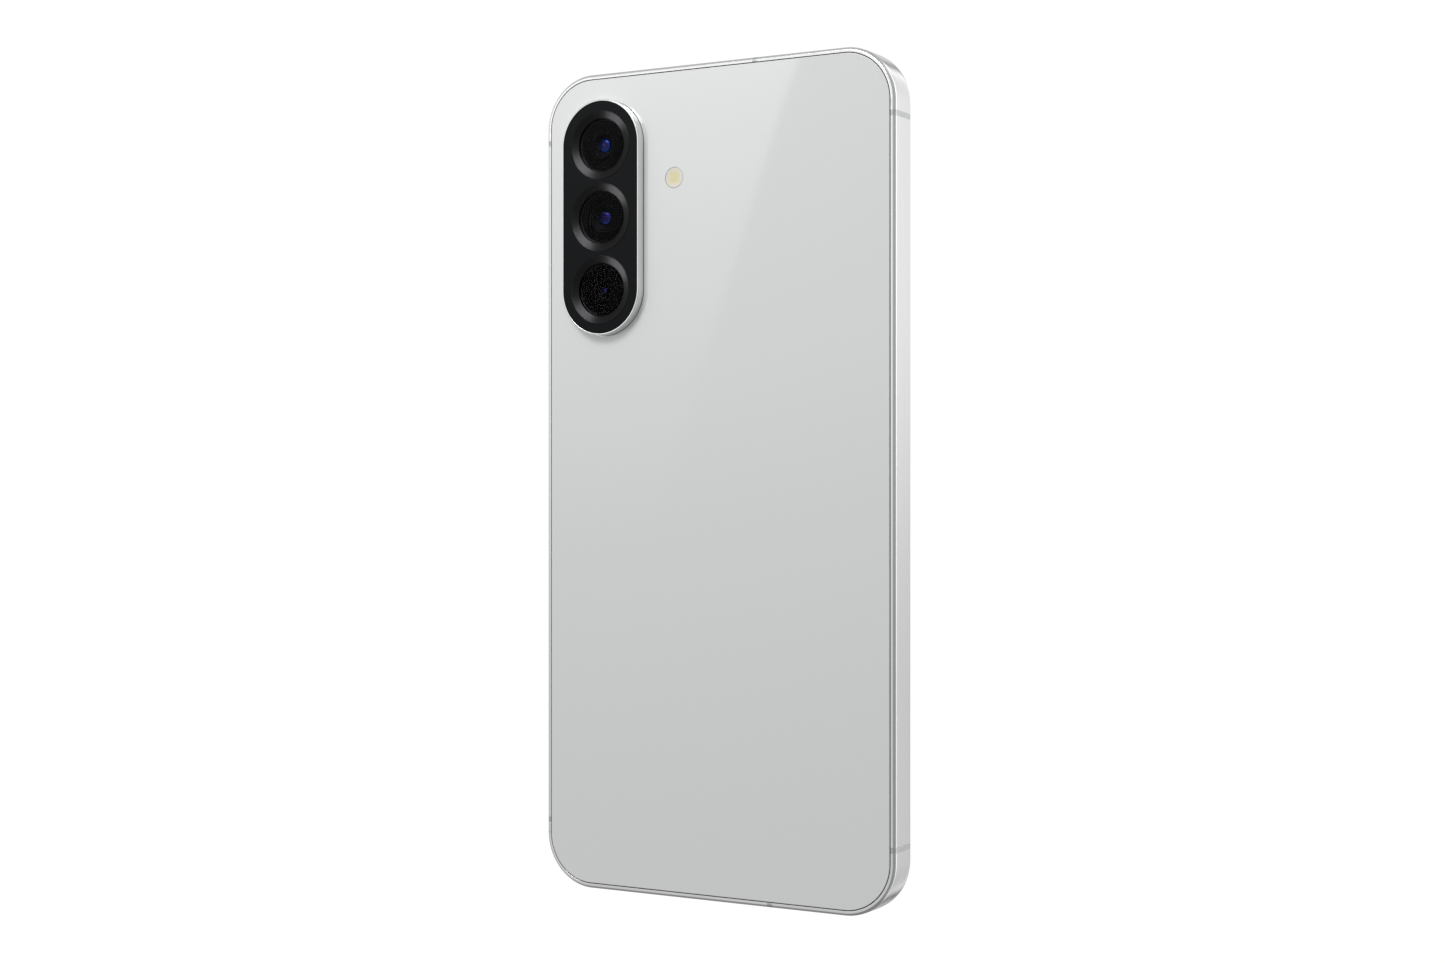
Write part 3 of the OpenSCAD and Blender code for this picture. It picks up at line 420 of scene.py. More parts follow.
def through_edge(centre, across, thick, depth, opening=0):
    """A pill or a round tool that runs along Z, with its long side along X."""
    tool = plate(across, thick, thick / 2, depth, opening)
    moved(tool, Matrix.Translation((0, 0, -thick / 2)))
    moved(tool, Matrix.Rotation(math.pi / 2, 4, "X"))
    return moved(tool, Matrix.Translation(centre))


def through_side(centre, length, thick, depth, opening=0):
    """A pill tool that runs along X, with its long side along Z."""
    tool = plate(thick, length, thick / 2, depth, opening)
    moved(tool, Matrix.Translation((0, 0, -length / 2)))
    moved(tool, Matrix.Rotation(-math.pi / 2, 4, "Z"))
    return moved(tool, Matrix.Translation(centre))


def upside_down(tool, height):
    """Turns a tool for the top edge over, for use at the bottom edge."""
    return moved(tool, Matrix.Translation((0, 0, height)) @ Matrix.Rotation(math.pi, 4, "Y"))


bands = solids_in("antenna_bands")


def band_direction(low, high):
    """Which way a band faces: left, right, up or down."""
    middle = (low + high) / 2
    if high.z - low.z < high.x - low.x:
        return Vector((math.copysign(1, middle.x), 0, 0))
    return Vector((0, 0, math.copysign(1, middle.z - body_h / 2)))


band_tools = []
for low, high in bands:
    outward = band_direction(low, high)
    grow = Vector((abs(outward.x), 1, abs(outward.z))) * overrun
    inside = Vector((abs(outward.x), 0, abs(outward.z))) * (overrun - 0.02 * mm)
    tool_low, tool_high = low - grow, high + grow
    if outward.x + outward.z > 0:
        tool_low += inside
    else:
        tool_high -= inside
    band_tools.append(block(tool_low, tool_high))
print(f"{len(bosses)} bosses, {len(bands)} antenna bands")

# %% Keys, tray, sockets and sound holes
key_w = 2.2 * mm
key_gap = 0.1 * mm
power_len = 11 * mm
volume_len = 22 * mm
inner_x = half_w - wall_w
inner_top = body_h - wall_w
power_middle = sum(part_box("power_key"), Vector()) / 2
volume_middle = sum(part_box("volume_key"), Vector()) / 2
tray_low, tray_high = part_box("sim_tray")
tray_middle = (tray_low + tray_high) / 2
tray_gap = 0.08 * mm
socket_low, socket_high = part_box("usb_shell")
socket_gap = 0.16 * mm
grille_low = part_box("loudspeaker_mesh")[0]
grille_pitch = 1.6 * mm
grille_r = 0.55 * mm
grille_count = 6
mic_r = 0.4 * mm
mics = middles("microphones")
slit_low, slit_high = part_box("earpiece_mesh")

wall_depth = (inner_x - 0.01 * mm, half_w)
side_tools = [
    through_side((0, 0, middle.z), length + 2 * key_gap, key_w + 2 * key_gap, wall_depth, flare)
    for middle, length in ((power_middle, power_len), (volume_middle, volume_len + key_gap))
]
tray_size = tray_high - tray_low
socket_size = socket_high - socket_low
top_tools = [
    through_edge((tray_middle.x, tray_middle.y, 0), tray_size.x + 2 * tray_gap, tray_size.y + 2 * tray_gap,
                 (inner_top - 0.01 * mm, body_h), flare / 2),
    through_edge((mics[0].x, 0, 0), 2 * mic_r, 2 * mic_r, (inner_top - overrun, body_h), flare),
]
bottom_tools = [
    through_edge((0, 0, 0), socket_size.x + 2 * socket_gap, socket_size.y + 2 * socket_gap,
                 (-wall_w - 0.01 * mm, 0), flare),
]
first_hole = grille_low.x + grille_pitch / 2
holes = [(mics[1].x, mic_r)] + [(first_hole + i * grille_pitch, grille_r) for i in range(grille_count)]
for x, radius in holes:
    bottom_tools.append(through_edge((-x, 0, 0), 2 * radius, 2 * radius, (-wall_w - overrun, 0), flare))
bottom_tools = [upside_down(tool, 0) for tool in bottom_tools]
slit_tool = block((slit_low.x, front_y - overrun, slit_low.z),
                  (slit_high.x, plate_y[0] - 0.1 * mm, slit_high.z))
print(f"{len(side_tools) + len(top_tools) + len(bottom_tools)} openings in the frame")

# %% Windows in the middle plate
selfie = sum(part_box("front_camera"), Vector()) / 2
finger_low, finger_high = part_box("fingerprint_sensor")
flex_low, flex_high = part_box("display_flex")
play = 0.1 * mm


def plate_window(low, high):
    """A tool that goes through the middle plate only."""
    return block((low.x - play, plate_y[0] - overrun, low.z - play),
                 (high.x + play, plate_y[1] + overrun, high.z + play))


flex_foot = Vector((flex_high.x, 0, flex_high.z + 0.2 * mm))
flex_slot = plate_window(Vector((flex_low.x, 0, flex_high.z - 0.2 * mm)), flex_foot)
selfie_window = plate_window(*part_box("front_camera"))
socket_window = plate_window(Vector((socket_low.x, 0, wall_w + play)), socket_high)
windows = [flex_slot, selfie_window, plate_window(finger_low, finger_high), socket_window]
boss_depth = (plate_y[0] + 0.2 * mm, bracket_y)
thread_depth = (bracket_y - 2.35 * mm, bracket_y + overrun)
boss_bodies = [rod(boss_r, boss_depth, place, 32) for place in bosses]
boss_threads = [rod(thread_r, thread_depth, place, 24) for place in bosses]
combined(frame_piece, solid(gathered(*boss_bodies)), "UNION")
combined(frame_piece, solid(gathered(*band_tools, *side_tools, *top_tools, *bottom_tools, slit_tool)))
combined(frame_piece, solid(gathered(*windows, *boss_threads)))
print(f"frame with its openings: {len(frame_piece.data.polygons)} faces")

# %% [markdown]
# ### Satin aluminium
#
# The metal is blasted and anodised, so it is even, and then lightly brushed along the wall. The streaks run
# round the phone: a noise that changes fast through the thickness and slowly along the other two axes does
# that on every side at once. The reflection of the studio gives the soft bands at the corners.

# %% Frame metal
def satin_metal(name, light, roughness, grain_height=0.00002 * mm):
    """Brushed and blasted metal: streaks in the colour and roughness, and a grain in the bump."""
    finish, shader = start_finish(name, Metallic=1.0)
    streak = noise_at(finish, 40, (1, 60, 1), 4)
    shade = tuple(0.87 * c for c in colour(light)[:3]) + (1.0,)
    rough = mapped(finish, streak, 0.3, 0.7, roughness - 0.03, roughness + 0.04)
    wire(finish, mixed(finish, streak, colour(light), shade), shader.inputs["Base Color"])
    wire(finish, rough, shader.inputs["Roughness"])
    bumped(finish, shader, noise_at(finish, 9000, detail=1), grain_height, 0.5)
    return finish


frame_metal = satin_metal("satin_aluminium", "f2f2f2", 0.19)
dress(frame_piece, frame_metal, ["frame"])

# %% [markdown]
# ## Antenna bands
#
# Radio waves don't pass through metal, so six plastic bands interrupt the wall. They are moulded into the
# gaps and milled together with the metal, so they have exactly the wall's section. Each band is that section
# as a face, extruded across the gap. The bands on the other sides are the same shape turned round.

# %% Model the bands
def band_blank(low, high):
    """One band: the wall's section, turned to its side of the phone and extruded along the edge."""
    outward = band_direction(low, high)
    along = Vector((outward.z, 0, outward.x))
    flat = corner_r - half_w if outward.x else corner_r - (body_h / 2)
    centre = Vector((0, 0, body_h / 2)) - outward * flat
    start = Vector((low.x * abs(along.x), 0, low.z * abs(along.z)))
    centre = Vector((centre.x * abs(outward.x), 0, centre.z * abs(outward.z))) + start
    outline = wall_section() + [(corner_r - wall_w, plate_y[1]), (corner_r - wall_w, plate_y[0]),
                                (corner_r - front_wall, plate_y[0])]
    bm = bmesh.new()
    verts = [bm.verts.new(centre + outward * out + Vector((0, depth, 0))) for out, depth in outline]
    bm.faces.new(verts)
    made = bmesh.ops.extrude_face_region(bm, geom=bm.faces[:])["geom"]
    span = Vector((abs(along.x) * (high.x - low.x), 0, abs(along.z) * (high.z - low.z)))
    bmesh.ops.translate(bm, verts=only(made, bmesh.types.BMVert), vec=span)
    bmesh.ops.recalc_face_normals(bm, faces=bm.faces)
    run = [edge for edge in bm.edges
           if abs((edge.verts[0].co - edge.verts[1].co).normalized().dot(along)) > 0.9]
    bmesh.ops.bevel(bm, geom=run, offset=edge_radius, offset_type="OFFSET", affect="EDGES", segments=3,
                    profile=0.5, material=-1, clamp_overlap=True)
    return bm


band_plastic = grained("band_plastic", "b9babb", "c4c5c6", 2500, (0.3, 0.36), 0.001 * mm, Metallic=0.85)
dress(solid(gathered(*[band_blank(low, high) for low, high in bands]), "plastic_bands"),
      band_plastic, ["antenna_bands"])

# %% [markdown]
# ## The two sheets of glass
#
# Each glass is a thin plate with a ground, rounded outer edge. The back one has a pill-shaped opening for the
# camera island and a round one for the flash. The plate could be bevelled afterwards, but with the rounding
# in the swept section it is even all the way round, and the openings that are cut later stay crisp.

# %% Glass plates
def glass_plate(node_name, outer_y):
    """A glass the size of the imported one, with its outer edge rounded."""
    low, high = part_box(node_name)
    reach = corner_r - (body_w - (high.x - low.x)) / 2
    inner_y = low.y + high.y - outer_y
    ground = 0.14 * mm
    inward = math.copysign(ground, inner_y - outer_y)
    turns = [math.radians(90) * step / 4 for step in range(5)]
    edge = [(reach - ground * (1 - math.sin(turn)), outer_y + inward * (1 - math.cos(turn)))
            for turn in turns]
    section = [(0, outer_y), *edge, (reach, inner_y), (0, inner_y)]
    bm = swept(section, high.x - low.x, high.z - low.z, reach, 32)
    return moved(bm, Matrix.Translation((0, 0, low.z)))


def pill(radius, depth, steps=24):
    """The camera island's pill shape at a radius."""
    bm = plate(2 * radius, 2 * lens_pitch + 2 * radius, radius, depth, steps=steps)
    return moved(bm, Matrix.Translation((island.x, 0, island.z - lens_pitch - radius)))


rim_low, rim_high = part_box("camera_rim")
cover_low, cover_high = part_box("camera_cover")
cover_r = (cover_high.x - cover_low.x) / 2
rim_r = cover_r + 0.42 * mm
flash = sum(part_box("flash_lens"), Vector()) / 2
flash_r = 2.0 * mm
back_glass_low, back_glass_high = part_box("back_glass")
back_glass = solid(glass_plate("back_glass", back_y), "back_glass_sheet")
cut_depth = (back_glass_low.y - overrun, back_glass_high.y + overrun)
flash_seat = rod(flash_r + 0.05 * mm, cut_depth, flash, 72)
combined(back_glass, solid(gathered(pill(rim_r + 0.08 * mm, cut_depth), flash_seat)))
print(f"back glass with two openings: {len(back_glass.data.polygons)} faces")

# %% [markdown]
# ### Coated back glass
#
# The colour of the back is a coating under clear glass: a pale, faintly green grey with a very fine pearl.
# The glass over it is glossy, so a bright panel of the studio lies on it as a large, faint, diagonal patch.
# A fine grain in the colour and the roughness keeps it from looking like flat paint.

# %% Glass finishes
back_finish = grained("coated_glass", "dcdfde", "dee1e0", 5000, (0.025, 0.035), 0,
                      Specular_IOR_Level=0.5, IOR=1.75)
dress(back_glass, back_finish, ["back_glass"])

# %% [markdown]
# The front glass is clear over the display, with a printed black border and a small round window for the
# front camera. One material holds all three: a rounded rectangle and a circle, both measured in Object
# coordinates, choose between the border's black, the slightly lighter black of a dark display, and clear.

# %% Front glass
def vectors(tree, operation, *values):
    """One Vector Math node, from sockets or plain vectors."""
    return node(tree, "ShaderNodeVectorMath", dict(enumerate(values)), operation=operation)


def distance_to(finish, centre, axes=(1, 0, 1)):
    """How far each point of the surface lies from a point, in millimetres, along the chosen axes."""
    place = node(finish, "ShaderNodeTexCoord")
    away = vectors(finish, "SUBTRACT", place.outputs["Object"], centre)
    flat = vectors(finish, "MULTIPLY", away.outputs[0], tuple(a / mm for a in axes))
    return flat.outputs[0], vectors(finish, "LENGTH", flat.outputs[0]).outputs["Value"]


def step_at(finish, value, edge, soft, before=0.0, after=1.0):
    """Goes from one value to another as a length passes an edge."""
    return mapped(finish, value, edge - soft, edge + soft, before, after, "SMOOTHSTEP")


def rounded_box(finish, centre, half_x, half_z, radius):
    """The distance to a rounded rectangle in X and Z, in millimetres, below zero inside."""
    offset, _ = distance_to(finish, centre)
    size = vectors(finish, "ABSOLUTE", offset).outputs[0]
    over = vectors(finish, "SUBTRACT", size, (half_x - radius, 0, half_z - radius)).outputs[0]
    kept = vectors(finish, "MAXIMUM", over, (0, 0, 0)).outputs[0]
    return maths(finish, "SUBTRACT", vectors(finish, "LENGTH", kept).outputs["Value"], radius)


def display_glass():
    """Clear glass with its black border, the dark display and the window of the front camera."""
    finish, shader = start_finish("display_glass", Roughness=0.04, IOR=1.5, Coat_Weight=0.2,
                                  Coat_Roughness=0.02)
    border = 2.4
    edge = rounded_box(finish, (0, 0, body_h / 2), body_w / mm / 2 - border, body_h / mm / 2 - border,
                       corner_r / mm - border)
    shown = step_at(finish, edge, 0, 0.03)
    lit = mixed(finish, noise_at(finish, 4000, detail=1), colour("14161a"), colour("181a1f"))
    mask = mixed(finish, shown, lit, colour("060607"))
    _, ring = distance_to(finish, (selfie.x, 0, selfie.z))
    dark = mixed(finish, step_at(finish, ring, 1.95, 0.05), colour("040405"), mask)
    wire(finish, dark, shader.inputs["Base Color"])
    wire(finish, step_at(finish, ring, 1.45, 0.05, 0.25, 1.0), shader.inputs["Alpha"])
    return finish


front_glass = solid(glass_plate("front_glass", front_y), "front_glass_sheet")
dress(front_glass, display_glass(), ["front_glass"])

# %% [markdown]
# The gap between glass and frame isn't empty. A thin bead of dark sealant fills its depth, and from outside
# it reads as a fine dark line all the way round. It is a closed section carried round the glass, a little
# below both surfaces, so that the gap keeps its edges.

# %% Sealing beads
def bead(low_y, high_y):
    """A closed strip in the gap between two depths."""
    inner = corner_r - lip_in - glass_gap + 0.01 * mm
    outer = corner_r - lip_in - 0.01 * mm
    return swept([(inner, low_y), (outer, low_y), (outer, high_y), (inner, high_y)], body_w, body_h, corner_r,
                 steps=32, closed=True)


sealant = grained("dark_sealant", "0d0d0e", "161617", 1500, (0.6, 0.75), 0.002 * mm, Specular_IOR_Level=0.2)
beads = gathered(bead(back_ledge_y + 0.01 * mm, back_y - 0.16 * mm),
                 bead(front_y + 0.16 * mm, front_ledge_y - 0.01 * mm))
dress(solid(beads, "sealing_beads"), sealant, ())

# %% [markdown]
# ## The camera island
#
# A metal rim stands through the back glass and holds a black glass cover with three holes. In each hole sits
# a dark metal ring with a dished face, and a clear window at its bottom. The rim is a closed section carried
# round the pill, and its top edge is rounded more than the others because fingers touch it.

# %% Rim and cover
rim_seat = 0.65 * mm
rim_inside = cover_r + 0.05 * mm
back_inner_y = back_glass_low.y
rim_section = [
    (rim_inside, rim_low.y),
    (rim_r + 0.85 * mm, rim_low.y),
    (rim_r + 0.85 * mm, back_inner_y),
    (rim_r, back_inner_y),
    (rim_r, rim_high.y),
    (rim_inside, rim_high.y),
    (rim_inside, cover_low.y),
    (rim_inside - rim_seat, cover_low.y),
    (rim_inside - rim_seat, cover_low.y - 0.25 * mm),
    (rim_inside, cover_low.y - 0.25 * mm),
]
rim = swept(rim_section, 2 * rim_r, 2 * lens_pitch + 2 * rim_r, rim_r, steps=40, closed=True)
bmesh.ops.translate(rim, verts=rim.verts, vec=(island.x, 0, island.z - lens_pitch - rim_r))


def outside(point):
    """How far a point lies from the island's spine."""
    spine = Vector((island.x, 0, min(max(point.z, island.z - lens_pitch), island.z + lens_pitch)))
    return (Vector((point.x, 0, point.z)) - spine).length


def on_top(point):
    return point.y > rim_high.y - weld


round_edges(rim, 0.2 * mm, 5, lambda point: on_top(point) and outside(point) > rim_r - 0.05 * mm)
round_edges(rim, 0.06 * mm, 2, lambda point: on_top(point) and outside(point) < rim_inside + 0.05 * mm)
rim_metal = satin_metal("rim_metal", "f2f2f2", 0.2)
dress(solid(rim, "island_rim"), rim_metal, ["camera_rim"])

ring_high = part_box("lens_rings")[1].y
ring_r = lens_pitch / 2 - 0.34 * mm
cover = solid(round_edges(pill(cover_r, (cover_low.y, cover_high.y), 40), 0.1 * mm, 3,
                          lambda point: point.y > cover_high.y - weld), "island_cover")
seat_depth = (cover_low.y - overrun, cover_high.y + overrun)
seats = [rod(ring_r + 0.02 * mm, seat_depth, place, 96) for place in lens_middles]
combined(cover, solid(gathered(*seats)))
cover_glass = grained("black_cover_glass", "0a0c0e", "0d0f11", 3500, (0.16, 0.2), 0,
                      Specular_IOR_Level=0.08, IOR=1.5)
dress(cover, cover_glass, ["camera_cover"])

# %% [markdown]
# ### Lens rings
#
# The rings are turned on a lathe, and the fine grooves run round them. Such a surface shows light as two
# bright fans on opposite sides, which is what an anisotropic shader does when it knows which way the grooves
# run. The piece's own UV map says so: U goes round each ring, and the Tangent node reads it.

# %% Rings with grooves that run round
window_low, window_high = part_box("lens_windows")
window_r = (window_high.x - window_low.x) / 2 + 0.03 * mm
ring_section = [
    (window_r - 0.4 * mm, cover_low.y - 0.2 * mm),
    (ring_r + 0.25 * mm, cover_low.y - 0.2 * mm),
    (ring_r + 0.25 * mm, cover_low.y),
    (ring_r, cover_low.y),
    (ring_r, cover_high.y),
    (ring_r - 0.15 * mm, ring_high),
    (window_r, cover_high.y - 0.45 * mm),
    (window_r, window_low.y),
    (window_r - 0.4 * mm, window_low.y),
]


def wrap_grooves(bm, centres):
    """A UV map whose U is the angle round the nearest centre and whose V is the distance from it."""
    grooves = bm.loops.layers.uv.new("grooves")
    for face in bm.faces:
        middle = face.calc_center_median()
        centre = min(centres, key=lambda place: (place - middle).length)
        home = math.atan2(middle.z - centre.z, middle.x - centre.x)
        for loop in face.loops:
            away = loop.vert.co - centre
            turn = math.atan2(away.z, away.x) - home
            turn -= math.tau * round(turn / math.tau)
            loop[grooves].uv = ((home + turn) / math.tau, math.hypot(away.x, away.z) / (10 * mm))


def turned_metal(name, dark, light, roughness, anisotropy):
    """Metal with lathe grooves, which reads its direction from the piece's own UV map."""
    finish, shader = start_finish(name, Metallic=1.0, Anisotropic=anisotropy, Anisotropic_Rotation=0.25)
    place = node(finish, "ShaderNodeUVMap", uv_map="grooves")
    mapping = node(finish, "ShaderNodeMapping", {"Vector": place.outputs["UV"], "Scale": (3, 400, 1)})
    groove = node(finish, "ShaderNodeTexNoise", {"Vector": mapping.outputs["Vector"], "Scale": 1.0,
                                                 "Detail": 2.0}).outputs["Fac"]
    rough = mapped(finish, groove, 0, 1, roughness - 0.05, roughness + 0.05)
    direction = node(finish, "ShaderNodeTangent", direction_type="UV_MAP", uv_map="grooves")
    wire(finish, mixed(finish, groove, colour(dark), colour(light)), shader.inputs["Base Color"])
    wire(finish, rough, shader.inputs["Roughness"])
    wire(finish, direction.outputs["Tangent"], shader.inputs["Tangent"])
    return finish


rings = gathered(*[turned(ring_section, place, 96, closed=True) for place in lens_middles])
bmesh.ops.remove_doubles(rings, verts=rings.verts, dist=weld)
round_edges(rings, 0.03 * mm, 2)
wrap_grooves(rings, lens_middles)
ring_metal = turned_metal("ring_metal", "1d1d1e", "232324", 0.36, 0.6)
dress(solid(rings, "island_rings"), ring_metal, ["lens_rings"])

# %% [markdown]
# ### Windows, barrels and lenses
#
# Behind each window a black printed mask leaves a round opening, and in it stands the camera's barrel: a
# stepped black funnel that keeps stray light out, with a small coated lens at its bottom. The coating's blue
# and violet come from thin films, so the lens is a mirror-like dome whose colour changes with the radius.
# On the back lenses the middle of those colours is shifted a little to one side, which paints where the
# reflection falls.

# %% Windows and masks
def disc_section(radius, depth, edge=0.0):
    """A solid disc with a small chamfer on its outer edge, as a section to turn."""
    return [(0, depth[0]), (radius, depth[0]), (radius, depth[1] - edge), (radius - edge, depth[1]),
            (0, depth[1])]


def window_glass():
    """Clear glass with an anti-glare coating: most light goes through, and more is mirrored at a slant."""
    finish, shader = start_finish("window_glass", Roughness=0.03, IOR=1.45, Specular_IOR_Level=0.15)
    tint = mixed(finish, noise_at(finish, 3000, detail=1), colour("020204"), colour("040406"))
    slant = node(finish, "ShaderNodeLayerWeight", {"Blend": 0.25}).outputs["Fresnel"]
    wire(finish, tint, shader.inputs["Base Color"])
    wire(finish, mapped(finish, slant, 0, 1, 0.12, 0.9), shader.inputs["Alpha"])
    return finish


window_depth = (window_low.y, window_high.y)
panes = gathered(*[turned(disc_section(window_r - 0.03 * mm, window_depth, 0.05 * mm), place, 96)
                   for place in lens_middles])
dress(solid(panes, "island_windows"), window_glass(), ["lens_windows"])

apertures = [2.9 * mm, 3.25 * mm, 2.05 * mm]
mask_depth = (window_low.y - 0.045 * mm, window_low.y - 0.005 * mm)
mask_r = window_r - 0.1 * mm
masks = []
for place, hole in zip(lens_middles, apertures):
    outline = [(hole, mask_depth[0]), (mask_r, mask_depth[0]), (mask_r, mask_depth[1]), (hole, mask_depth[1])]
    masks.append(turned(outline, place, 96, closed=True))
mask_ink = grained("mask_ink", "030303", "050505", 2500, (0.4, 0.5), 0.0005 * mm, Specular_IOR_Level=0.03)
dress(solid(gathered(*masks), "window_masks"), mask_ink, ())

# %% Barrels
def barrel_section(outer, lens_r, top, base):
    """The funnel from the barrel's outer edge in three steps down to the lens, and its outside."""
    steps = 3
    run = (outer - 0.45 * mm - lens_r) / steps
    drop = 0.16 * mm
    line = [(0, base), (outer, base), (outer, top - 0.12 * mm), (outer - 0.12 * mm, top),
            (outer - 0.4 * mm, top)]
    for i in range(steps):
        edge = outer - 0.45 * mm - i * run
        line += [(edge, top - (i + 0.7) * drop), (edge - 0.7 * run, top - (i + 1) * drop)]
    floor_y = top - (steps + 1) * drop
    return line + [(lens_r, floor_y), (0, floor_y)], floor_y


def lens_section(radius, rise, floor_y):
    """A dome as a quarter of a shallow arc, with a short cylindrical edge."""
    turns = [i / 10 * math.pi / 2 for i in range(11)]
    rim_y = floor_y + 0.05 * mm
    dome = [(radius * math.cos(turn), rim_y + rise * math.sin(turn)) for turn in turns]
    return [(0, floor_y - 0.02 * mm), (radius, floor_y - 0.02 * mm)] + dome[:-1] + [(0, dome[-1][1])]


barrel_black = grained("barrel_black", "030304", "050506", 5000, (0.3, 0.4), 0.001 * mm,
                       Specular_IOR_Level=0.05)
wide_low, wide_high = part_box("wide_camera")
macro_low, macro_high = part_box("macro_camera")
main_low, main_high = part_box("main_camera_lens")
cameras = [
    ("wide", lens_middles[0], 2.85 * mm, 1.45 * mm, wide_low, wide_high, "wide_camera", "phone"),
    ("main", lens_middles[1], 3.2 * mm, 1.4 * mm, main_low, main_high, "main_camera_lens", "main_lens"),
    ("macro", lens_middles[2], 2.0 * mm, 0.5 * mm, macro_low, macro_high, "macro_camera", "phone"),
]


def lens_coating(name, centre, radius, bands):
    """A coated lens: dark glass that mirrors in colours which change outwards from the given centre. A centre
    set off the lens's middle paints where the reflection falls.
    """
    finish, shader = start_finish(name, Metallic=0.9, Roughness=0.2, Coat_Weight=0.1, Coat_Roughness=0.05)
    _, away = distance_to(finish, centre)
    share = maths(finish, "DIVIDE", away, radius / mm)
    shifted = maths(finish, "MULTIPLY_ADD", noise_at(finish, 900, detail=1), 0.12, share)
    wire(finish, ramped(finish, shifted, bands), shader.inputs["Base Color"])
    return finish


coatings = {
    "wide": [(0.0, "8a48b8"), (0.2, "2c1a70"), (0.4, "0a1238"), (0.62, "1c3c98"), (0.85, "2a58c8"),
             (1.0, "0a1030")],
    "main": [(0.0, "20145c"), (0.35, "120e40"), (0.62, "2a2488"), (0.85, "2c64c0"), (1.0, "101848")],
    "macro": [(0.0, "3c2cae"), (0.4, "0c0c34"), (0.8, "2838b4"), (1.0, "060818")],
}
for name, place, barrel_r, lens_r, low, high, packed, body in cameras:
    section, floor_y = barrel_section(barrel_r, lens_r, high.y, low.y + 0.2 * mm)
    barrel = solid(turned(section, place, 72), f"{name}_barrel")
    holder_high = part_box("main_camera_can")[1].y if body == "phone" else high.y - 0.75 * mm
    holder_low = low.y if body == "phone" else holder_high - 0.5 * mm
    half = (high.x - low.x) / 2
    holder = block((place.x - half, holder_low, place.z - half),
                   (place.x + half, holder_high, place.z + half))
    combined(barrel, solid(round_edges(holder, 0.15 * mm, 2)), "UNION")
    dress(barrel, barrel_black, [packed], body)
    dome = solid(turned(lens_section(lens_r - 0.02 * mm, 0.32 * lens_r, floor_y), place, 48), f"{name}_lens")
    # The colour bands are the coating's tint, but their middle is moved up and to one side: that shift is
    # painted reflection.
    painted_reflection_shift = Vector((-0.1, 0, 0.12)) * lens_r
    coating = lens_coating(f"{name}_coating", place + painted_reflection_shift, 1.25 * lens_r, coatings[name])
    dress(dome, coating, (), body)

# %% [markdown]
# ### The flash
#
# The flash is a flat, milky lens, flush with the back glass, with a square yellow phosphor behind it that
# shows as a soft glow in the middle. Fine rings on its inside spread the light; they are turned into the
# outer face here as shallow steps, so that they show as they do through the clear lens.

# %% Flash lens and its light
def flash_finish():
    """A milky lens with a yellow glow in the middle of it."""
    finish, shader = start_finish("flash_diffuser", Roughness=0.22, IOR=1.5, Coat_Weight=0.5,
                                  Coat_Roughness=0.05)
    near = rounded_box(finish, (flash.x, 0, flash.z), 0.95, 1.05, 0.3)
    glow = step_at(finish, near, 0.1, 0.75)
    soft = maths(finish, "MULTIPLY_ADD", noise_at(finish, 4000, detail=2), 0.08, glow)
    shades = [(0.0, "dfd49a"), (0.5, "e6dfbe"), (1.0, "e4e0d8")]
    wire(finish, ramped(finish, soft, shades), shader.inputs["Base Color"])
    return finish


flash_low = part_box("flash_lens")[0]
flash_section = [(0, flash_low.y), (flash_r + 0.4 * mm, flash_low.y), (flash_r + 0.4 * mm, back_inner_y),
                 (flash_r, back_inner_y), (flash_r, back_y - 0.08 * mm), (flash_r - 0.08 * mm, back_y),
                 (flash_r - 0.2 * mm, back_y)]
for i in range(6):
    edge = flash_r - (0.25 + 0.16 * i) * mm
    flash_section += [(edge, back_y - 0.006 * mm), (edge - 0.12 * mm, back_y)]
flash_section.append((0, back_y))
dress(solid(turned(flash_section, flash, 64), "flash_lens_disc"), flash_finish(), ["flash_lens"])

# %% [markdown]
# ## Keys and card tray
#
# The keys are pill-shaped caps of the frame's metal, with a flange inside that the wall holds back. The card
# tray closes its slot with a head of the same section as the slot, and carries the card in a thin frame.

# %% Keys
def key_cap(node_name, length, flange_x, posts):
    """A key: its cap, the flange behind the wall and the posts that press the domes."""
    low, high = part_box(node_name)
    middle = (low + high) / 2
    cap = through_side((0, middle.y, middle.z), length, key_w, (flange_x[1] - 0.01 * mm, high.x))
    cap = solid(round_edges(cap, 0.16 * mm, 4, lambda point: point.x > high.x - weld), f"{node_name}_cap")
    flange = block((flange_x[0], low.y, low.z), (flange_x[1], high.y, high.z))
    combined(cap, solid(round_edges(flange, 0.08 * mm, 2)), "UNION")
    for rise in posts:
        post = bmesh.new()
        reach = flange_x[0] + 0.05 * mm - low.x
        bmesh.ops.create_cone(post, cap_ends=True, segments=24, radius1=0.6 * mm, radius2=0.6 * mm,
                              depth=reach)
        moved(post, Matrix.Rotation(math.pi / 2, 4, "Y"))
        moved(post, Matrix.Translation((low.x + reach / 2, middle.y, middle.z + rise)))
        combined(cap, solid(post), "UNION")
    return cap


key_metal = satin_metal("key_metal", "f0f1f1", 0.22)
power = key_cap("power_key", power_len, (inner_x - 0.47 * mm, inner_x - 0.02 * mm), [0])
dress(power, key_metal, ["power_key"], "power_key")
rocker_x = inner_x - 0.4 * mm
volume = key_cap("volume_key", volume_len, (rocker_x - 0.4 * mm, rocker_x), [-7.5 * mm, 7.5 * mm])
dress(volume, key_metal, ["volume_key"], "volume_key")

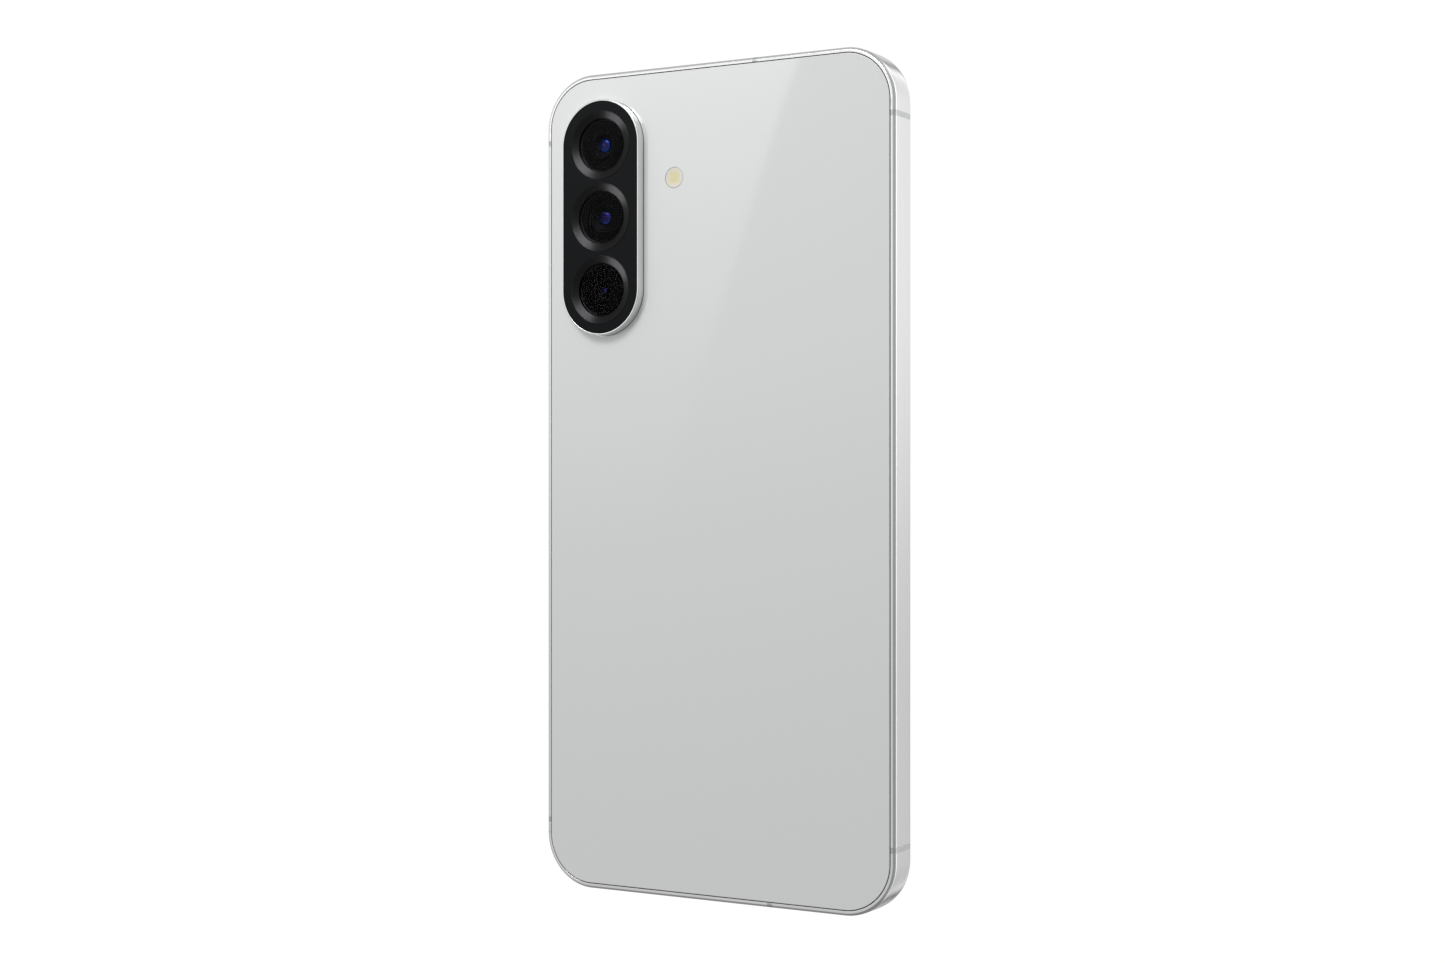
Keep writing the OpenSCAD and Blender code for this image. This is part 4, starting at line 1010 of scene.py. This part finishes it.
# %% Card tray
tray_thick = (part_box("eject_rod")[1].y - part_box("eject_rod")[0].y) * 1.5
carrier_y = (tray_middle.y - tray_thick / 2, tray_middle.y + tray_thick / 2)
carrier_x = (tray_middle.x - 8 * mm, tray_middle.x + 4.2 * mm)
head = through_edge((tray_middle.x, tray_middle.y, 0), tray_size.x, tray_size.y, (inner_top, tray_high.z))
tray = solid(round_edges(head, 0.1 * mm, 3, lambda point: point.z > tray_high.z - weld), "card_tray")
carrier = block((carrier_x[0], carrier_y[0], tray_low.z), (carrier_x[1], carrier_y[1], inner_top + 0.2 * mm))
combined(tray, solid(round_edges(carrier, 0.12 * mm, 2)), "UNION")
card_low = Vector((carrier_x[0] + 1.6 * mm, carrier_y[0] + 0.3 * mm, tray_low.z + 1.6 * mm))
card_high = Vector((card_low.x + 9 * mm, carrier_y[1] + overrun, card_low.z + 12.5 * mm))
ledge = 0.5 * mm
pocket = block(card_low, card_high)
opening = block((card_low.x + ledge, carrier_y[0] - overrun, card_low.z + ledge),
                (card_high.x - ledge, card_high.y + overrun, card_high.z - ledge))
combined(tray, solid(pocket))
combined(tray, solid(opening))
eject_r = 0.5 * mm
eject_x = tray_middle.x + 6.5 * mm
combined(tray, solid(through_edge((eject_x, tray_middle.y, 0), 2 * eject_r, 2 * eject_r,
                                  (inner_top - overrun, tray_high.z), 0.1 * mm)))
dress(tray, key_metal, ["sim_tray"], "sim_tray")

# %% [markdown]
# ## The charging socket
#
# A pressed steel shell with a black tongue in it that carries two rows of gold contacts. The shell is a
# hollow pill closed at its inner end, with the edge of its mouth rounded.

# %% Socket shell, tongue and contacts
shell_wall = 0.3 * mm
shell_middle = (socket_low + socket_high) / 2
shell = through_edge((0, shell_middle.y, 0), socket_size.x, socket_size.y, (socket_low.z, socket_high.z))
shell = solid(round_edges(shell, 0.1 * mm, 3), "socket_shell")
hollow = through_edge((0, shell_middle.y, 0), socket_size.x - 2 * shell_wall,
                      socket_size.y - 2 * shell_wall, (socket_low.z - overrun, socket_high.z - 1 * mm))
combined(shell, solid(hollow))
steel = grained("pressed_steel", "c9cbcd", "d6d8da", 1800, (0.24, 0.34), 0.0008 * mm, Metallic=1.0)
dress(shell, steel, ["usb_shell"])
tongue_low, tongue_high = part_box("usb_tongue")
blade = block((-3.35 * mm, -0.35 * mm, tongue_low.z), (3.35 * mm, 0.35 * mm, tongue_high.z - 0.5 * mm))
round_edges(blade, 0.1 * mm, 3, lambda point: point.z < tongue_low.z + 0.1 * mm)
tongue = solid(blade, "socket_tongue")
root = block((-3.5 * mm, -1 * mm, tongue_high.z - 1 * mm), (3.5 * mm, 1 * mm, tongue_high.z))
combined(tongue, solid(root), "UNION")
moulded = grained("moulded_black", "121214", "18181a", 2200, (0.42, 0.55), 0.001 * mm,
                  Specular_IOR_Level=0.45)
dress(tongue, moulded, ["usb_tongue"])
contacts = []
for face in (-1, 1):
    for i in range(12):
        x = (i - 5.5) * 0.5 * mm
        pad_y = sorted((face * 0.34 * mm, face * 0.37 * mm))
        contacts.append(block((x - 0.13 * mm, pad_y[0], tongue_low.z + 0.5 * mm),
                              (x + 0.13 * mm, pad_y[1], tongue_high.z - 1.5 * mm)))
gold = grained("contact_gold", "c9a45a", "d8b56a", 4000, (0.22, 0.3), 0.0003 * mm, Metallic=1.0)
dress(solid(gathered(*contacts), "socket_contacts"), gold, ())

# %% [markdown]
# ## The front camera
#
# Through the small window in the display glass stands a black barrel with a tiny lens, and the display panel
# has a hole for it. It is the same turned funnel as on the back, facing the other way.

# %% Front camera
front_low, front_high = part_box("front_camera")
selfie_r = 1.5 * mm
section, floor_y = barrel_section(selfie_r, 0.7 * mm, -front_low.y, -plate_y[0] - 0.05 * mm)
barrel = turned([(r, -y) for r, y in section], selfie, 48)
barrel = solid(barrel, "front_barrel")
base = block((front_low.x + 0.5 * mm, plate_y[0], front_low.z + 0.5 * mm),
             (front_high.x - 0.5 * mm, front_high.y, front_high.z - 0.5 * mm))
wings = block((front_low.x, plate_y[1], front_low.z), (front_high.x, plate_y[1] + 0.3 * mm, front_high.z))
combined(barrel, solid(round_edges(base, 0.1 * mm, 2)), "UNION")
combined(barrel, solid(wings), "UNION")
dress(barrel, barrel_black, ["front_camera"])
eye = turned([(r, -y) for r, y in lens_section(0.68 * mm, 0.2 * mm, floor_y)], selfie, 32)
front_coating = lens_coating("front_coating", (selfie.x, 0, selfie.z), 0.7 * mm, coatings["macro"])
dress(solid(eye, "front_lens"), front_coating, ())

# %% [markdown]
# ## Finishes of the inner parts
#
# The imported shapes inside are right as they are, so they keep their meshes and only get finishes: solder
# mask on the boards, pressed steel on the shields, polyimide on the flexes, wrinkled foil on the battery.
# Their sizes of grain differ, from a tenth of a millimetre on moulded plastic to a few on the foil.

# %% Finishes for boards, foils and plastics
def solder_mask():
    """Green lacquer with faint copper tracks that run under it at right angles."""
    finish, shader = start_finish("solder_mask", IOR=1.5)
    place = node(finish, "ShaderNodeTexCoord")
    mapping = node(finish, "ShaderNodeMapping", {"Vector": place.outputs["Object"],
                                                 "Rotation": (math.pi / 2, 0, 0)})
    tracks = node(finish, "ShaderNodeTexBrick", {
        "Vector": mapping.outputs["Vector"], "Scale": 420.0, "Mortar Size": 0.03,
        "Color1": colour("1d4a33"), "Color2": colour("1a422e"), "Mortar": colour("2f6b4a")})
    wire(finish, tracks.outputs["Color"], shader.inputs["Base Color"])
    wire(finish, mapped(finish, noise_at(finish, 700), 0, 1, 0.3, 0.45), shader.inputs["Roughness"])
    bumped(finish, shader, tracks.outputs["Fac"], 0.01 * mm, 0.6)
    return finish


def woven_mesh():
    """A fine metal weave, from two crossed waves."""
    finish, shader = start_finish("woven_mesh", Metallic=0.8)
    place = node(finish, "ShaderNodeTexCoord")
    waves = [node(finish, "ShaderNodeTexWave", {"Vector": place.outputs["Object"], "Scale": 2600.0},
                  bands_direction=axis).outputs["Fac"] for axis in ("X", "Y")]
    weave = maths(finish, "MULTIPLY", *waves)
    wire(finish, ramped(finish, weave, [(0.0, "0c0c0d"), (1.0, "5c5e61")]), shader.inputs["Base Color"])
    bumped(finish, shader, weave, 0.02 * mm, 0.8)
    return finish


mask_green = solder_mask()
mesh_weave = woven_mesh()
tape = grained("black_tape", "0c0c0d", "131315", 900, (0.6, 0.75), 0.003 * mm, Specular_IOR_Level=0.3)
panel = grained("panel_back", "101216", "16181d", 500, (0.25, 0.4), 0.001 * mm, Specular_IOR_Level=0.5)
polyimide = grained("polyimide_flex", "8a5a26", "a06e34", 600, (0.28, 0.4), 0.001 * mm,
                    Specular_IOR_Level=0.5)
copper = grained("coil_copper", "a8673c", "c07e50", 1500, (0.3, 0.42), 0.001 * mm, Metallic=1.0)
graphite = grained("graphite_film", "2a2b2e", "36373a", 350, (0.3, 0.45), 0.002 * mm, Metallic=0.6)
foil = grained("battery_foil", "26292d", "33373c", 120, (0.3, 0.5), 0.03 * mm, Metallic=0.35)
chip = grained("chip_resin", "141516", "1c1d1f", 1600, (0.5, 0.62), 0.002 * mm, Specular_IOR_Level=0.4)
tungsten = grained("sintered_weight", "6e6f72", "85868a", 900, (0.38, 0.5), 0.003 * mm, Metallic=1.0)
rubber = grained("gasket_rubber", "1a1a1b", "222223", 1300, (0.65, 0.8), 0.003 * mm, Specular_IOR_Level=0.3)
blackened = grained("blackened_steel", "35373a", "424448", 1400, (0.35, 0.48), 0.001 * mm, Metallic=1.0)
cone_paper = grained("cone_film", "17171a", "202024", 1100, (0.45, 0.6), 0.002 * mm, Specular_IOR_Level=0.4)
phosphor = grained("flash_phosphor", "e3cf62", "eddc7c", 2600, (0.5, 0.6), 0.002 * mm, Specular_IOR_Level=0.3)
sensor = grained("sensor_silicon", "1c2638", "2a3550", 2400, (0.12, 0.2), 0.0005 * mm, Metallic=0.4)

inner_finishes = {
    "display_panel": panel, "display_tape": tape, "display_flex": polyimide, "back_glass_tape": tape,
    "flash_led": phosphor, "main_camera_can": blackened, "main_camera_sensor": sensor,
    "stabiliser_x_frame": blackened, "stabiliser_z_frame": moulded, "earpiece_receiver": blackened,
    "earpiece_mesh": mesh_weave, "fingerprint_sensor": sensor, "main_board": mask_green, "back_shield": steel,
    "front_shield": steel, "processor": chip, "memory_chip": chip, "board_connectors": moulded,
    "top_bracket": moulded, "nfc_coil": copper, "graphite_sheet": graphite, "battery": foil,
    "battery_tab": polyimide, "main_flex": polyimide, "antenna_cable": rubber, "sub_board": mask_green,
    "usb_gasket": rubber, "loudspeaker_box": moulded, "loudspeaker_driver": blackened,
    "loudspeaker_cone": cone_paper, "loudspeaker_mesh": mesh_weave, "motor_case": steel,
    "motor_weight": tungsten, "microphones": blackened, "bottom_bracket": moulded,
    "bracket_screws": blackened, "key_flex": polyimide, "key_bracket": steel, "sim_socket": steel,
    "eject_rod": steel, "eject_lever": steel,
}
for name, finish in inner_finishes.items():
    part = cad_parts[name]
    part.data.materials.clear()
    part.data.materials.append(finish)
print(f"{len(inner_finishes)} inner parts have a finish")

# %% [markdown]
# ## Stage, light and camera
#
# The phone stands in a white studio. The floor and the backdrop are only what the camera sees. What the metal
# and the glass mirror is the studio round them: bright walls before and behind the phone, darker ones at
# its sides, and a darker floor. The world's own shader paints that from the direction of each ray, and with
# it the bright panel whose straight edge the back glass mirrors as a pale diagonal patch. One softbox adds
# the key light, and two long strips light only the lens rings.

# %% Floor and backdrop
def stage_white(name, white, glow):
    """A white that glows enough to stay white in the picture."""
    finish, shader = start_finish(name, Roughness=0.9, Emission_Strength=glow, Specular_IOR_Level=0.0)
    shader.inputs["Base Color"].default_value = (white, white, white, 1)
    shader.inputs["Emission Color"].default_value = (1, 1, 1, 1)
    return finish


floor_bm = bmesh.new()
bmesh.ops.create_circle(floor_bm, cap_ends=True, radius=3, segments=64)
floor = solid(floor_bm, "studio_floor")
dome_bm = bmesh.new()
bmesh.ops.create_uvsphere(dome_bm, u_segments=48, v_segments=24, radius=3.2)
dome = solid(dome_bm, "studio_backdrop")
for part, white, glow in ((floor, 0.1, 0.96), (dome, 0.0, 1.01)):
    part.data.materials.append(stage_white(part.name + "_white", white, glow))
    part.visible_diffuse = False
    part.visible_glossy = False
    part.visible_transmission = False
    part.visible_shadow = False
print(f"stage: {floor.name} and {dome.name}")

# %% Studio environment
world = bpy.data.worlds.new("studio")
bpy.context.scene.world = world
world.use_nodes = True
ray = node(world, "ShaderNodeTexCoord").outputs["Generated"]
height = node(world, "ShaderNodeSeparateXYZ", {0: ray}).outputs["Z"]


def facing(axis):
    """How far each direction points along an axis."""
    return vectors(world, "DOT_PRODUCT", ray, axis).outputs["Value"]


def sums(operation, *values):
    return maths(world, operation, *values)


def eased(value, low, high, before=0.0, after=1.0, shape="SMOOTHSTEP"):
    return mapped(world, value, low, high, before, after, shape)


walls = facing((0.497, 0.867, 0))
level = sums("MULTIPLY_ADD", sums("MULTIPLY", walls, walls), 0.48, 0.53)
level = sums("MULTIPLY_ADD", facing((0.867, -0.497, 0)), 0.08, level)
level = sums("MULTIPLY", level, eased(height, -0.085, 0.1, 0.65, 0.935))
level = sums("MULTIPLY", level, eased(height, -0.9, -0.3, 0.7, 1.0))
strip = eased(sums("ABSOLUTE", facing((-0.423, 0.906, 0))), 0.0, 0.55, 2.4, 0.0)
strip = sums("MULTIPLY", strip, eased(facing((-0.906, -0.423, 0)), 0.3, 0.6))
strip = sums("MULTIPLY", strip, eased(height, -0.5, 0.1, 0.55, 1.0))
behind = eased(facing((0, -1, 0)), 0.3, 0.6)
for across, width, change in (((0.934, -0.358, 0), 0.1, -0.08), ((0.996, -0.087, 0), 0.13, 0.5),
                              ((0.9945, 0.1045, 0), 0.12, -0.7)):
    stripe = eased(sums("ABSOLUTE", facing(across)), 0.01, width, change, 0.0)
    level = sums("MULTIPLY_ADD", sums("MULTIPLY", stripe, behind), level, level)
patch = eased(facing((0.817, -0.4967, 0.293)), -0.0008, 0.0008)
patch = sums("MULTIPLY", patch, eased(facing((0.819, -0.573, 0)), 0.0, 0.015, 1.0, 0.0))
patch = sums("MULTIPLY", patch, eased(height, 0.2, 0.225, 1.0, 0.0))
fade = eased(height, -0.055, 0.21, 0.0, 1.0, "LINEAR")
patch = sums("MULTIPLY", patch, sums("MULTIPLY", fade, fade))
patch = sums("MULTIPLY", patch, eased(walls, 0.8, 0.9))
level = sums("MULTIPLY_ADD", patch, 1.4, sums("ADD", level, strip))
background = world.node_tree.nodes["Background"]
wire(world, level, background.inputs["Strength"])
background.inputs["Color"].default_value = (1, 1, 1, 1)
print(f"studio painted by {len(world.node_tree.nodes)} nodes")

# %% Softboxes
def softbox(name, place, target, size, power, along=(1, 0, 0), only_on=()):
    """A rectangular lamp that faces a point, with its first side along a direction. It lights everything,
    or only the pieces that are named."""
    lamp = bpy.data.lights.new(name, "AREA")
    lamp.shape = "RECTANGLE"
    lamp.size, lamp.size_y = size
    lamp.energy = power
    back = (Vector(place) - Vector(target)).normalized()
    side = (Vector(along) - back * back.dot(Vector(along))).normalized()
    holder = bpy.data.objects.new(name, lamp)
    turn = Matrix((side, back.cross(side), back)).transposed()
    holder.matrix_world = Matrix.Translation(place) @ turn.to_4x4()
    holder.visible_camera = False
    if only_on:
        lit = bpy.data.collections.new(name + "_pieces")
        for piece in only_on:
            lit.objects.link(bpy.data.objects[piece])
        holder.light_linking.receiver_collection = lit
    bpy.context.scene.collection.objects.link(holder)
    print(f"{name}: {power} W, {size[0]} x {size[1]} m")


softbox("key_light", (0.06, 0.33, 0.4), (0.02, 0, 0.12), (0.2, 0.16), 0.78)
ring_strips = {
    "upper_strip": ((0.84, 0.49, -0.25), (0.27, -0.33, 0.51), (0.2, 0.07), 1.3),
    "lower_strip": ((0.11, 0.83, 0.55), (-0.66, 0.42, -0.5), (0.28, 0.07), 1.4),
}
for name, (towards, along, size, power) in ring_strips.items():
    softbox(name, island + 0.45 * Vector(towards).normalized(), island, size, power, along, ["island_rings"])

# %% Camera
scene = bpy.context.scene
scene.view_settings.view_transform = "Standard"
scene.view_settings.look = "None"
lens = bpy.data.cameras.new("camera")
lens.lens = 54.56
lens.sensor_width = 36
lens.clip_start = 0.01
camera = bpy.data.objects.new("camera", lens)
camera.location = (-0.2118, 0.3692, 0.0811)
camera.rotation_mode = "QUATERNION"
camera.rotation_quaternion = (Vector((0, 0, 0.0811)) - camera.location).to_track_quat("-Z", "Y")
scene.collection.objects.link(camera)
scene.camera = camera
print(f"camera {camera.location.length:.3f} m from the foot of the phone, with a {lens.lens:.1f} mm lens")
